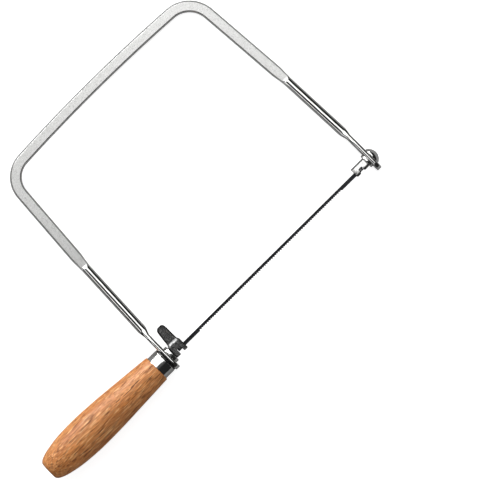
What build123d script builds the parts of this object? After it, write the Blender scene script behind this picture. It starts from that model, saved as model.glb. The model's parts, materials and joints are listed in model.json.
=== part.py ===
"""Coping saw with a round-bar bow, swivelling blade hooks and a turned wooden handle.

Work frame, in millimetres: X runs along the turning axis of handle and hooks, from the handle towards
the far end, Y runs from that axis to the back of the bow, and Z is square to the plane of the bow.
X is 0 on the inner face of the near arm of the bow. The finished parts are then laid down as the saw
lies on a bench: on the swell of its handle, the head of its far rivet and the back of its bow, Z up.
"""

from build123d import *
import os
from math import asin, cos, degrees, radians, sin, sqrt, tan

# ---- driving dimensions --------------------------------------------------------------------------

# Blade: pinned, 165 mm (6 1/2 inch) class.
PIN_SPACING = 161.0
PIN_RADIUS = 0.9
PIN_LENGTH = 6.0
BLADE_WIDTH = 2.6
BLADE_THICKNESS = 0.5
BLADE_OFFSET = -1.1          # the blade's middle lies a little below the turning axis
BLADE_PAST_PIN = 1.8
TOOTH_PITCH = 25.4 / 16
TOOTH_DEPTH = 0.75
TOOTH_COUNT = 80
TOOTH_FACE_RUN = 0.12        # along the blade, over the steep front of a tooth
GULLET_END = 0.45            # where the gullet's floor ends, as a part of the pitch
PIN_CHAMFER = 0.15

# Bow: one steel bar, round in the arms, pressed flat round the back, flattened to a tongue at each end.
BAR_DIAMETER = 6.0
FLAT_WIDTH = 7.6             # in the plane of the bow
FLAT_THICKNESS = 4.2         # across it
FLAT_EDGE_RADIUS = 1.2
BACK_HEIGHT = 156.4          # centre line of the back above the turning axis, at mid length
BACK_ARCH_RADIUS = 1150.0
SHOULDER_HEIGHT = 139.7
ROUND_FOOT_HEIGHT = 24.3
# The arms' centre lines differ a little: half span at the foot of the round bar, its lean in degrees,
# the height where the pressed flat ends, half span at the shoulder below the corner, corner radius.
NEAR_ARM_LINE = (89.35, 2.28, 78.5, 82.98, 16.8)
FAR_ARM_LINE = (89.62, 2.7, 73.5, 81.95, 18.5)
FLAT_RUN_OUT = 8.5           # length over which the flat narrows to the round
KNEE_WIDTH = 6.3             # in the plane of the bow, where the pressed face ends
KNEE_EDGE_RADIUS = 1.7
RAMP_LENGTH = 1.4            # step from the pressed face up to the round bar
NECK_HALF_SPAN = 89.9
NECK_HEIGHT = 19.0
NECK_WIDTH = 7.8
TONGUE_THICKNESS = 3.2
TONGUE_WIDTH = 10.5
TONGUE_TOP = 12.7
TONGUE_END = -9.3
TONGUE_END_RADIUS = 4.6
TONGUE_EDGE_RADIUS = 1.1
EYE_RADIUS = 2.58

# Stems that carry the hooks.
STEM_RADIUS = 2.5
STEM_CHAMFER = 0.6
RUNNING_CLEARANCE = 0.05
TANG_THICKNESS = 2.2
TANG_HEIGHT = 4.4
TANG_GAP = 0.2               # between a tang and the blade's end at its nearest
THREAD_PITCH = 0.8           # M5; the thread itself is left plain

# Hooks: one folded sheet each, two cheeks and the web that joins them on the bow's side.
SHEET = 1.0
CHEEK_GAP = 2.2
NOTCH_WIDTH = 3.05
PIN_PLAY = 0.1
HOOK_CORNER_RADIUS = 0.7
WEB_BEND_RADIUS = 0.9        # outside of the far hook's folds
NEAR_COLLAR_LENGTH = 2.3
NEAR_COLLAR_RADIUS = 6.0
NEAR_HOOK_LENGTH = 9.75
NEAR_HOOK_TOP = 3.8
NEAR_HOOK_BOTTOM = -4.3
NEAR_PIN_X = 8.0
FAR_COLLAR_LENGTH = 1.7
FAR_COLLAR_RADIUS = 4.9
FAR_HOOK_LENGTH = 10.4
FAR_HOOK_TOP = 3.2
FAR_HOOK_BOTTOM = -3.3
FAR_PIN_SETBACK = 6.1        # from the far pin to the far hook's base
COLLAR_EDGE = 0.5

# Lever: the near hook's sheet pinched together and carried on beyond the web.
PINCH_HEIGHT = 5.4           # where the two layers meet
LEVER_BASE_NEAR_X = 3.45
LEVER_BASE_FAR_X = 11.15
LEVER_TIP_RADIUS = 3.1
LEVER_TIP_X = 7.92
LEVER_TOP = 17.9
LEVER_EDGE_RADIUS = 0.5
FOLD_CREST = 0.7             # the space between the cheeks narrows from FOLD_FOOT below the near hook's top
FOLD_FOOT = 0.6              # to nothing at FOLD_CREST above it

# Domed head of the far rivet, outside the far arm.
HEAD_RADIUS = 5.6
HEAD_HEIGHT = 4.2
HEAD_RIM = 0.8

# Handle with its ferrule, thrust washer and threaded insert.
WASHER_THICKNESS = 0.9
WASHER_RADIUS = 8.4
WASHER_CHAMFER = 0.2
FERRULE_RADIUS = 8.6
FERRULE_LENGTH = 7.4
FERRULE_WALL = 0.9
FERRULE_EDGE = 0.6
INSERT_RADIUS = 5.0
INSERT_LENGTH = 14.0
INSERT_CHAMFER = 0.8
STEM_HOLE_RADIUS = 3.2
STEM_HOLE_DEPTH = 48.0
STEM_REACH = 27.0            # stem beyond the near arm's inner face, into the handle
HANDLE_LENGTH = 94.2
HANDLE_TILT = -1.2           # degrees: the handle is bored a little out of true
HANDLE_FRONT_RADIUS = 9.45
HANDLE_BUTT_RADIUS = 5.6
HANDLE_SWELL = [(22.7, 11.0), (59.8, 12.8), (81.3, 11.2), (91.2, 8.65)]  # back from the front, radius
FRONT_CHAMFER = 0.4

LEVELLING_ROUNDS = 12        # steps of the search for the saw's resting attitude

# ---- places worked out from them -----------------------------------------------------------------

BLADE_NEAR_END_X = NEAR_PIN_X - BLADE_PAST_PIN
FAR_PIN_X = NEAR_PIN_X + PIN_SPACING
TOOTHED_START_X = NEAR_PIN_X + (PIN_SPACING - TOOTH_COUNT * TOOTH_PITCH) / 2
NEAR_HOOK_X = NEAR_COLLAR_LENGTH
NEAR_NOTCH_X = NEAR_PIN_X + PIN_RADIUS + PIN_PLAY - NOTCH_WIDTH
FAR_HOOK_X = FAR_PIN_X + FAR_PIN_SETBACK
FAR_NOTCH_X = FAR_PIN_X - PIN_RADIUS - PIN_PLAY
FAR_ARM_X = FAR_HOOK_X + FAR_COLLAR_LENGTH
MID_X = FAR_ARM_X / 2
TONGUE_HALF_SPAN = MID_X + TONGUE_THICKNESS / 2
NOTCH_TOP = BLADE_OFFSET + PIN_RADIUS + PIN_PLAY
CHEEK_FACE = CHEEK_GAP / 2 + SHEET
FERRULE_FRONT_X = -TONGUE_THICKNESS - WASHER_THICKNESS
HANDLE_FRONT_X = FERRULE_FRONT_X - FERRULE_LENGTH
HANDLE_BUTT_X = HANDLE_FRONT_X - HANDLE_LENGTH
SLACK_TRAVEL = NOTCH_WIDTH - 2 * PIN_RADIUS - 2 * PIN_PLAY


def along_x(radius, start, end):
    """A round bar on the turning axis, from X start to X end."""
    from_base = (Align.CENTER, Align.CENTER, Align.MIN)
    return Plane.YZ.offset(start) * Cylinder(radius, end - start, align=from_base)


# ---- bow -----------------------------------------------------------------------------------------

class Arm:
    """One arm of the bow's centre line. side is -1 for the near arm and 1 for the far arm."""

    def __init__(self, side, line):
        foot_half_span, lean, knee_height, shoulder_half_span, corner_radius = line
        self.side = side
        foot = self.place(foot_half_span, ROUND_FOOT_HEIGHT)
        knee_half_span = foot_half_span - (knee_height - ROUND_FOOT_HEIGHT) * tan(radians(lean))
        self.foot = foot
        self.knee = self.place(knee_half_span, knee_height)
        shoulder = self.place(shoulder_half_span, SHOULDER_HEIGHT)
        self.flat_way = (shoulder - self.knee).normalized()
        self.round_way = (self.knee - foot).normalized()
        inward = Vector(-side * self.flat_way.Y, side * self.flat_way.X)
        arch_centre = Vector(MID_X, BACK_HEIGHT - BACK_ARCH_RADIUS)
        reach = BACK_ARCH_RADIUS - corner_radius
        offset = shoulder + inward * corner_radius - arch_centre
        along = offset.dot(self.flat_way)
        climb = -along + sqrt(along**2 - offset.dot(offset) + reach**2)
        corner = shoulder + inward * corner_radius + self.flat_way * climb
        outward = (corner - arch_centre).normalized()
        self.corner_start = shoulder + self.flat_way * climb
        self.corner_end = arch_centre + outward * BACK_ARCH_RADIUS
        self.corner_middle = corner + (outward - inward).normalized() * corner_radius

    def place(self, half_span, height):
        """A point of the centre line, half_span from the bow's middle."""
        return Vector(MID_X + self.side * half_span, height)

    def section(self, point, way, width, thickness, radius):
        """A rounded section of the bar, square to its way at a point."""
        plane = Plane(origin=point, x_dir=Vector(0, 0, 1), z_dir=way)
        return plane * RectangleRounded(thickness, width, radius)

    def round_section(self, point, way):
        """The full round of the bar, as a rounded square so that it lofts evenly to the flats."""
        return self.section(point, way, BAR_DIAMETER, BAR_DIAMETER, BAR_DIAMETER / 2 - 0.01)

    def flat_start(self):
        """Where the pressed flat reaches its full width."""
        return self.knee + self.flat_way * FLAT_RUN_OUT

    def leg(self):
        """The arm from the pressed flat down through the round bar to the top of its tongue."""
        up = Vector(0, 1)
        neck = self.place(NECK_HALF_SPAN, NECK_HEIGHT)
        tongue_top = self.place(TONGUE_HALF_SPAN, TONGUE_TOP)
        sections = [
            self.section(self.flat_start(), self.flat_way, FLAT_WIDTH, FLAT_THICKNESS, FLAT_EDGE_RADIUS),
            self.section(self.knee, self.flat_way, KNEE_WIDTH, FLAT_THICKNESS, KNEE_EDGE_RADIUS),
            self.round_section(self.knee - self.round_way * RAMP_LENGTH, self.round_way),
            self.round_section(self.foot, self.round_way),
            self.section(neck, up, TONGUE_THICKNESS, NECK_WIDTH, TONGUE_EDGE_RADIUS),
            self.section(tongue_top, up, TONGUE_THICKNESS, TONGUE_WIDTH, TONGUE_EDGE_RADIUS),
        ]
        return loft(sections, ruled=True)

    def tongue(self):
        """The flattened end with its eye on the turning axis."""
        height = TONGUE_TOP - TONGUE_END
        centre = self.place(TONGUE_HALF_SPAN, (TONGUE_TOP + TONGUE_END) / 2)
        blank = Pos(centre.X, centre.Y) * Box(TONGUE_THICKNESS, height, TONGUE_WIDTH)
        lower = blank.edges().filter_by(Axis.X).group_by(Axis.Y)[0]
        blank = fillet(lower, TONGUE_END_RADIUS)
        below_top = [edge for edge in blank.edges() if edge.center().Y < TONGUE_TOP - 0.01]
        rims = [edge for edge in below_top if abs(edge.tangent_at(0.5).X) < 0.01]
        return fillet(rims, TONGUE_EDGE_RADIUS)


def make_bow():
    """The whole bow, one piece."""
    near = Arm(-1, NEAR_ARM_LINE)
    far = Arm(1, FAR_ARM_LINE)
    path = Wire([
        Line(near.flat_start(), near.corner_start),
        ThreePointArc(near.corner_start, near.corner_middle, near.corner_end),
        ThreePointArc(near.corner_end, Vector(MID_X, BACK_HEIGHT), far.corner_end),
        ThreePointArc(far.corner_end, far.corner_middle, far.corner_start),
        Line(far.corner_start, far.flat_start()),
    ])
    start = near.section(near.flat_start(), near.flat_way, FLAT_WIDTH, FLAT_THICKNESS, FLAT_EDGE_RADIUS)
    shape = sweep(start, path=path)
    for arm in (near, far):
        shape += arm.leg() + arm.tongue()
    for x in (-TONGUE_THICKNESS - 1, FAR_ARM_X - 1):
        shape -= along_x(EYE_RADIUS, x, x + TONGUE_THICKNESS + 2)
    return shape


# ---- handle --------------------------------------------------------------------------------------

def make_handle():
    """Turned wooden handle: long swell, flat butt, a tenon for the ferrule and a stepped bore.

    The swell leans by HANDLE_TILT from the bore, but the shoulder behind the ferrule is square to it."""
    def at(back, radius):
        """A point of the outline, back from the front shoulder."""
        return (HANDLE_FRONT_X - back, radius)

    tenon_radius = FERRULE_RADIUS - FERRULE_WALL
    tenon_x = FERRULE_FRONT_X - FERRULE_WALL
    swell = Spline(
        at(FRONT_CHAMFER, HANDLE_FRONT_RADIUS), *[at(*station) for station in HANDLE_SWELL],
        at(HANDLE_LENGTH, HANDLE_BUTT_RADIUS), tangents=[(-1, 0.06), (-0.35, -1)],
    )
    outline = Polyline(
        at(HANDLE_LENGTH, HANDLE_BUTT_RADIUS), at(HANDLE_LENGTH, 0), at(-FRONT_CHAMFER, 0),
        at(-FRONT_CHAMFER, HANDLE_FRONT_RADIUS - FRONT_CHAMFER), at(0, HANDLE_FRONT_RADIUS - FRONT_CHAMFER),
        at(FRONT_CHAMFER, HANDLE_FRONT_RADIUS),
    )
    wood = handle_lean() * revolve(make_face(swell + outline), Axis.X)
    wood -= along_x(FERRULE_RADIUS * 2, HANDLE_FRONT_X, tenon_x)
    wood += along_x(tenon_radius, HANDLE_FRONT_X - FRONT_CHAMFER, tenon_x)
    wood -= along_x(INSERT_RADIUS, tenon_x - INSERT_LENGTH, tenon_x)
    wood -= along_x(STEM_HOLE_RADIUS, tenon_x - STEM_HOLE_DEPTH, tenon_x)
    return wood


def handle_lean():
    """Location that leans the handle's swell, about the middle of its front."""
    return Pos(HANDLE_FRONT_X) * Rot(0, 0, HANDLE_TILT) * Pos(-HANDLE_FRONT_X)


def make_ferrule():
    """Plated cup over the handle's tenon, with a front wall that takes the thrust."""
    cup = along_x(FERRULE_RADIUS, HANDLE_FRONT_X, FERRULE_FRONT_X)
    cup = fillet(cup.edges().filter_by(GeomType.CIRCLE).group_by(Axis.X)[-1], FERRULE_EDGE)
    cup -= along_x(FERRULE_RADIUS - FERRULE_WALL, HANDLE_FRONT_X, FERRULE_FRONT_X - FERRULE_WALL)
    return cup - along_x(EYE_RADIUS, HANDLE_FRONT_X, FERRULE_FRONT_X)


def make_thrust_washer():
    """Washer between the ferrule and the near arm."""
    disc = along_x(WASHER_RADIUS, FERRULE_FRONT_X, -TONGUE_THICKNESS)
    disc = chamfer(disc.edges().filter_by(GeomType.CIRCLE), WASHER_CHAMFER)
    return disc - along_x(EYE_RADIUS, FERRULE_FRONT_X, -TONGUE_THICKNESS)


def make_handle_insert():
    """Threaded steel insert in the handle that draws the near stem in."""
    front = FERRULE_FRONT_X - FERRULE_WALL
    body = along_x(INSERT_RADIUS, front - INSERT_LENGTH, front)
    body = chamfer(body.edges().filter_by(GeomType.CIRCLE).group_by(Axis.X)[0], INSERT_CHAMFER)
    return body - along_x(STEM_RADIUS + RUNNING_CLEARANCE, front - INSERT_LENGTH, front)


# ---- hooks and stems -----------------------------------------------------------------------------

def folded_sheet(outline, top, bottom, lever_top=None):
    """A hook: its side outline, cut out of a sheet folded to two cheeks with their web at the top.

    With a lever, the two layers close on each other above the web and carry on to lever_top."""
    half_gap = CHEEK_GAP / 2
    if lever_top is None:
        fold = Pos(0, (top + bottom) / 2) * Rectangle(2 * CHEEK_FACE, top - bottom)
        fold = fillet(fold.vertices().group_by(Axis.Y)[-1], WEB_BEND_RADIUS)
        slot = [(half_gap, bottom - 1), (half_gap, top - SHEET)]
    else:
        right = [(CHEEK_FACE, bottom), (CHEEK_FACE, top), (SHEET, PINCH_HEIGHT), (SHEET, lever_top)]
        left = [(-x, y) for x, y in reversed(right)]
        fold = make_face(Polyline(*right, *left, close=True))
        fold = fillet(fold.vertices().group_by(Axis.Y)[-1], LEVER_EDGE_RADIUS)
        slot = [(half_gap, bottom - 1), (half_gap, top - FOLD_FOOT), (0, top + FOLD_CREST)]
    slot += [(-x, y) for x, y in reversed(slot) if x > 0]
    fold -= make_face(Polyline(*slot, close=True))
    across = Plane(origin=(0, 0, 0), x_dir=(0, 0, 1), z_dir=(-1, 0, 0))
    folded = extrude(across * fold, FAR_ARM_X, both=True)
    return folded & extrude(outline, 2 * CHEEK_FACE, both=True)


def hook_outline(base, away, length, notch_start, top, bottom):
    """Side outline of a hook with its notch open to the blade's side.

    base is its X at the collar, away is the way it points, 1 or -1, and notch_start is counted from base."""
    def at(run, height):
        return (base + away * run, height)

    notch_end = notch_start + NOTCH_WIDTH
    face = make_face(Polyline(
        at(0, bottom), at(notch_start, bottom), at(notch_start, NOTCH_TOP), at(notch_end, NOTCH_TOP),
        at(notch_end, bottom), at(length, bottom), at(length, top), at(0, top), close=True,
    ))
    return fillet([v for v in face.vertices() if v.Y < NOTCH_TOP + 0.01], HOOK_CORNER_RADIUS)


def make_near_hook():
    """Near hook with the lever that sets the blade's angle."""
    notch_start = NEAR_NOTCH_X - NEAR_HOOK_X
    outline = hook_outline(NEAR_HOOK_X, 1, NEAR_HOOK_LENGTH, notch_start, NEAR_HOOK_TOP, NEAR_HOOK_BOTTOM)
    end_x = NEAR_HOOK_X + NEAR_HOOK_LENGTH
    pinch = make_face(Polyline(
        (NEAR_HOOK_X, NEAR_HOOK_TOP), (end_x, NEAR_HOOK_TOP),
        (LEVER_BASE_FAR_X, PINCH_HEIGHT), (LEVER_BASE_NEAR_X, PINCH_HEIGHT), close=True,
    ))
    tip_y = LEVER_TOP - LEVER_TIP_RADIUS
    blade_of_lever = make_face(Polyline(
        (LEVER_BASE_NEAR_X, PINCH_HEIGHT), (LEVER_BASE_FAR_X, PINCH_HEIGHT),
        (LEVER_TIP_X + LEVER_TIP_RADIUS, tip_y), (LEVER_TIP_X - LEVER_TIP_RADIUS, tip_y), close=True,
    ))
    outline += pinch + blade_of_lever + Pos(LEVER_TIP_X, tip_y) * Circle(LEVER_TIP_RADIUS)
    return folded_sheet(outline, NEAR_HOOK_TOP, NEAR_HOOK_BOTTOM, LEVER_TOP)


def make_far_hook():
    """Far hook, the same sheet without a lever."""
    notch_start = FAR_HOOK_X - FAR_NOTCH_X - NOTCH_WIDTH
    outline = hook_outline(FAR_HOOK_X, -1, FAR_HOOK_LENGTH, notch_start, FAR_HOOK_TOP, FAR_HOOK_BOTTOM)
    return folded_sheet(outline, FAR_HOOK_TOP, FAR_HOOK_BOTTOM)


def tang(start, end):
    """The flat of a stem that stands between a hook's cheeks."""
    return Pos((start + end) / 2, 0) * Box(end - start, TANG_HEIGHT, TANG_THICKNESS)


def make_near_stem():
    """Threaded stem from the near hook through the arm into the handle, with its tang in the hook."""
    end = -STEM_REACH
    rod = along_x(STEM_RADIUS, end, NEAR_HOOK_X)
    rod = chamfer(rod.edges().filter_by(GeomType.CIRCLE).group_by(Axis.X)[0], STEM_CHAMFER)
    return rod + tang(NEAR_HOOK_X, BLADE_NEAR_END_X - SLACK_TRAVEL - TANG_GAP)


def make_far_rivet():
    """Rivet with a domed head outside the far arm, and its shank flattened to a tang in the far hook."""
    foot = FAR_ARM_X + TONGUE_THICKNESS
    rim = foot + HEAD_RIM
    crown = HEAD_HEIGHT - HEAD_RIM
    sphere = (HEAD_RADIUS**2 + crown**2) / (2 * crown)
    half_angle = asin(HEAD_RADIUS / sphere) / 2
    middle = (foot + HEAD_HEIGHT - sphere * (1 - cos(half_angle)), sphere * sin(half_angle))
    dome = ThreePointArc((rim, HEAD_RADIUS), middle, (foot + HEAD_HEIGHT, 0))
    under = Polyline((foot + HEAD_HEIGHT, 0), (foot, 0), (foot, HEAD_RADIUS), (rim, HEAD_RADIUS))
    head = revolve(make_face(dome + under), Axis.X)
    shank = along_x(STEM_RADIUS, FAR_HOOK_X, foot)
    return head + shank + tang(FAR_PIN_X + BLADE_PAST_PIN + TANG_GAP, FAR_HOOK_X)


def make_collar(radius, start, end):
    """Round collar between an arm and its hook."""
    ring = along_x(radius, start, end)
    ring = fillet(ring.edges().filter_by(GeomType.CIRCLE), COLLAR_EDGE)
    return ring - along_x(STEM_RADIUS + RUNNING_CLEARANCE, start, end)


# ---- blade ---------------------------------------------------------------------------------------

def make_blade():
    """Blade with plain ends and a toothed middle. The teeth point at the handle and cut on the pull."""
    top = BLADE_OFFSET + BLADE_WIDTH / 2
    bottom = top - BLADE_WIDTH
    gullet = bottom + TOOTH_DEPTH
    far_end = FAR_PIN_X + BLADE_PAST_PIN
    outline = [(BLADE_NEAR_END_X, top), (BLADE_NEAR_END_X, bottom), (TOOTHED_START_X, bottom)]
    for i in range(TOOTH_COUNT):
        tip = TOOTHED_START_X + i * TOOTH_PITCH
        floor_end = tip + GULLET_END * TOOTH_PITCH
        outline += [(tip + TOOTH_FACE_RUN, gullet), (floor_end, gullet), (tip + TOOTH_PITCH, bottom)]
    outline += [(far_end, bottom), (far_end, top)]
    strip = extrude(make_face(Polyline(*outline, close=True)), BLADE_THICKNESS / 2, both=True)
    for x in (NEAR_PIN_X, FAR_PIN_X):
        strip -= Pos(x, BLADE_OFFSET) * Cylinder(PIN_RADIUS, 2 * BLADE_THICKNESS)
    return strip


def make_blade_pin(x):
    """Cross pin pressed through an end of the blade."""
    pin = Pos(x, BLADE_OFFSET) * Cylinder(PIN_RADIUS, PIN_LENGTH)
    return chamfer(pin.edges().filter_by(GeomType.CIRCLE), PIN_CHAMFER)


# ---- the saw, laid down on a bench ---------------------------------------------------------------

def saw_parts():
    """Every piece by name, in the work frame."""
    return {
        "bow": make_bow(),
        "handle": make_handle(),
        "ferrule": make_ferrule(),
        "thrust_washer": make_thrust_washer(),
        "handle_insert": make_handle_insert(),
        "near_stem": make_near_stem(),
        "near_collar": make_collar(NEAR_COLLAR_RADIUS, 0, NEAR_COLLAR_LENGTH),
        "near_hook": make_near_hook(),
        "blade": make_blade(),
        "near_blade_pin": make_blade_pin(NEAR_PIN_X),
        "far_blade_pin": make_blade_pin(FAR_PIN_X),
        "far_hook": make_far_hook(),
        "far_rivet": make_far_rivet(),
        "far_collar": make_collar(FAR_COLLAR_RADIUS, FAR_HOOK_X, FAR_ARM_X),
    }


def resting_turn(parts):
    """Turn that brings the handle, the far rivet's head and the back of the bow down to one level."""
    def lowest(name):
        return (turn * parts[name]).bounding_box().min.Z

    roll = dip = 0.0
    for _ in range(LEVELLING_ROUNDS):
        turn = Rot(roll, 0, 0) * Rot(0, dip, 0)
        level = lowest("handle")
        dip += degrees((lowest("far_rivet") - level) / (FAR_ARM_X - HANDLE_BUTT_X))
        roll -= degrees((lowest("bow") - level) / BACK_HEIGHT)
    return turn


def laid_down(parts):
    """Location that lays the saw down, with the origin under the middle of its box."""
    turn = resting_turn(parts)
    box = Compound([turn * part for part in parts.values()]).bounding_box()
    return Pos(-box.center().X, -box.center().Y, -box.min.Z) * turn


def main():
    """Writes one STEP file for each piece."""
    os.makedirs("parts", exist_ok=True)
    parts = saw_parts()
    bench = laid_down(parts)
    for name, part in parts.items():
        export_step(bench * part, f"parts/{name}.step")
    print("laid down at", bench.position, bench.orientation, "slack travel", round(SLACK_TRAVEL, 3))


if __name__ == "__main__":
    main()
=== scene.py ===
"""Visual model of a coping saw: its surfaces and finishes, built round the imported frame.

Every piece is shaped in the saw's own frame, in metres: X runs along the turning axis of handle and hooks
from the near arm of the bow to the far one, Y from that axis to the bow's back, and Z square to the bow.
It is then laid down on the bench, where the frame has it.
"""

import json
import logging
import math
from dataclasses import dataclass, field
from enum import Enum
from typing import Callable, Iterable, Optional, Sequence, Union

import bmesh
import bpy
from mathutils import Matrix, Vector

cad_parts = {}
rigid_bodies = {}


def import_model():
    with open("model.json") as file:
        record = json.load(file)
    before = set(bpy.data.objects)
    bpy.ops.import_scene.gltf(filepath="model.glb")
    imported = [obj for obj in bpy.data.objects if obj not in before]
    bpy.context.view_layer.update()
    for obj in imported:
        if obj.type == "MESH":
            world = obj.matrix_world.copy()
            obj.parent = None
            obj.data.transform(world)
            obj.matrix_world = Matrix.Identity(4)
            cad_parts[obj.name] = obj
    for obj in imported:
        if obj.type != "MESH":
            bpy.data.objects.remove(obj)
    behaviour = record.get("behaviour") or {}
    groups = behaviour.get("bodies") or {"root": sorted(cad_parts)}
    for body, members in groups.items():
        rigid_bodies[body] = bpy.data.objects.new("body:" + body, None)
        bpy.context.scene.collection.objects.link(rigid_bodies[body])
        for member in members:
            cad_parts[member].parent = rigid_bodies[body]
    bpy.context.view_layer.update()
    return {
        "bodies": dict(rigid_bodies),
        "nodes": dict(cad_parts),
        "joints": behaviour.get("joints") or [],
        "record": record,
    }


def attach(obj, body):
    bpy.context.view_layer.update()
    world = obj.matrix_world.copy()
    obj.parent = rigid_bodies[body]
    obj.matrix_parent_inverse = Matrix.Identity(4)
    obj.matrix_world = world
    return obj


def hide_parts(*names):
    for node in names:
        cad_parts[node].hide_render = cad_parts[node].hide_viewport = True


LOG = logging.getLogger("coping_saw")
MM = 0.001
SAME = 1e-7  # metres: points nearer than this are in one place, while a piece is drawn out
TOUCHING = 1e-6  # the same, once folds and mirrored halves have moved points a little
SEAM = 2e-5  # how near the plane between its halves a hook's inner skin lies

Point = tuple[float, float]
Colour = tuple[float, float, float]
Number = Union[float, "Value"]


# ---- the saw's place on the bench -----------------------------------------------------------------


@dataclass(frozen=True)
class Bench:
    """Where the saw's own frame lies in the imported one."""

    matrix: Matrix

    @classmethod
    def from_record(cls, record: dict) -> "Bench":
        """Reads the saw's axes from its joints and mounts.

        Args:
            record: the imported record.

        Returns:
            The bench with the saw's frame on it.
        """
        joints = {joint["name"]: joint for joint in record["behaviour"]["joints"]}
        mounts = {mount["name"]: mount for mount in record["mounts"]}
        along = Vector(joints["near_swivel"]["axis"]).normalized()
        up = Vector(mounts["bow_back_flat"]["axis"])
        up = (up - along * up.dot(along)).normalized()
        across = up.cross(along)
        turn = Matrix((along, across, up)).transposed().to_4x4()
        return cls(Matrix.Translation(joints["near_swivel"]["pos_m"]) @ turn)

    def extent(self, node: bpy.types.Object) -> tuple[Vector, Vector]:
        """Lowest and highest corner of a CAD node, in the saw's frame.

        Args:
            node: the CAD node's object.

        Returns:
            The two corners, in metres.
        """
        back = self.matrix.inverted()
        points = [back @ vertex.co for vertex in node.data.vertices]
        low = Vector(tuple(min(p[i] for p in points) for i in range(3)))
        high = Vector(tuple(max(p[i] for p in points) for i in range(3)))
        return low, high


# ---- modelling by hand ----------------------------------------------------------------------------


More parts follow.
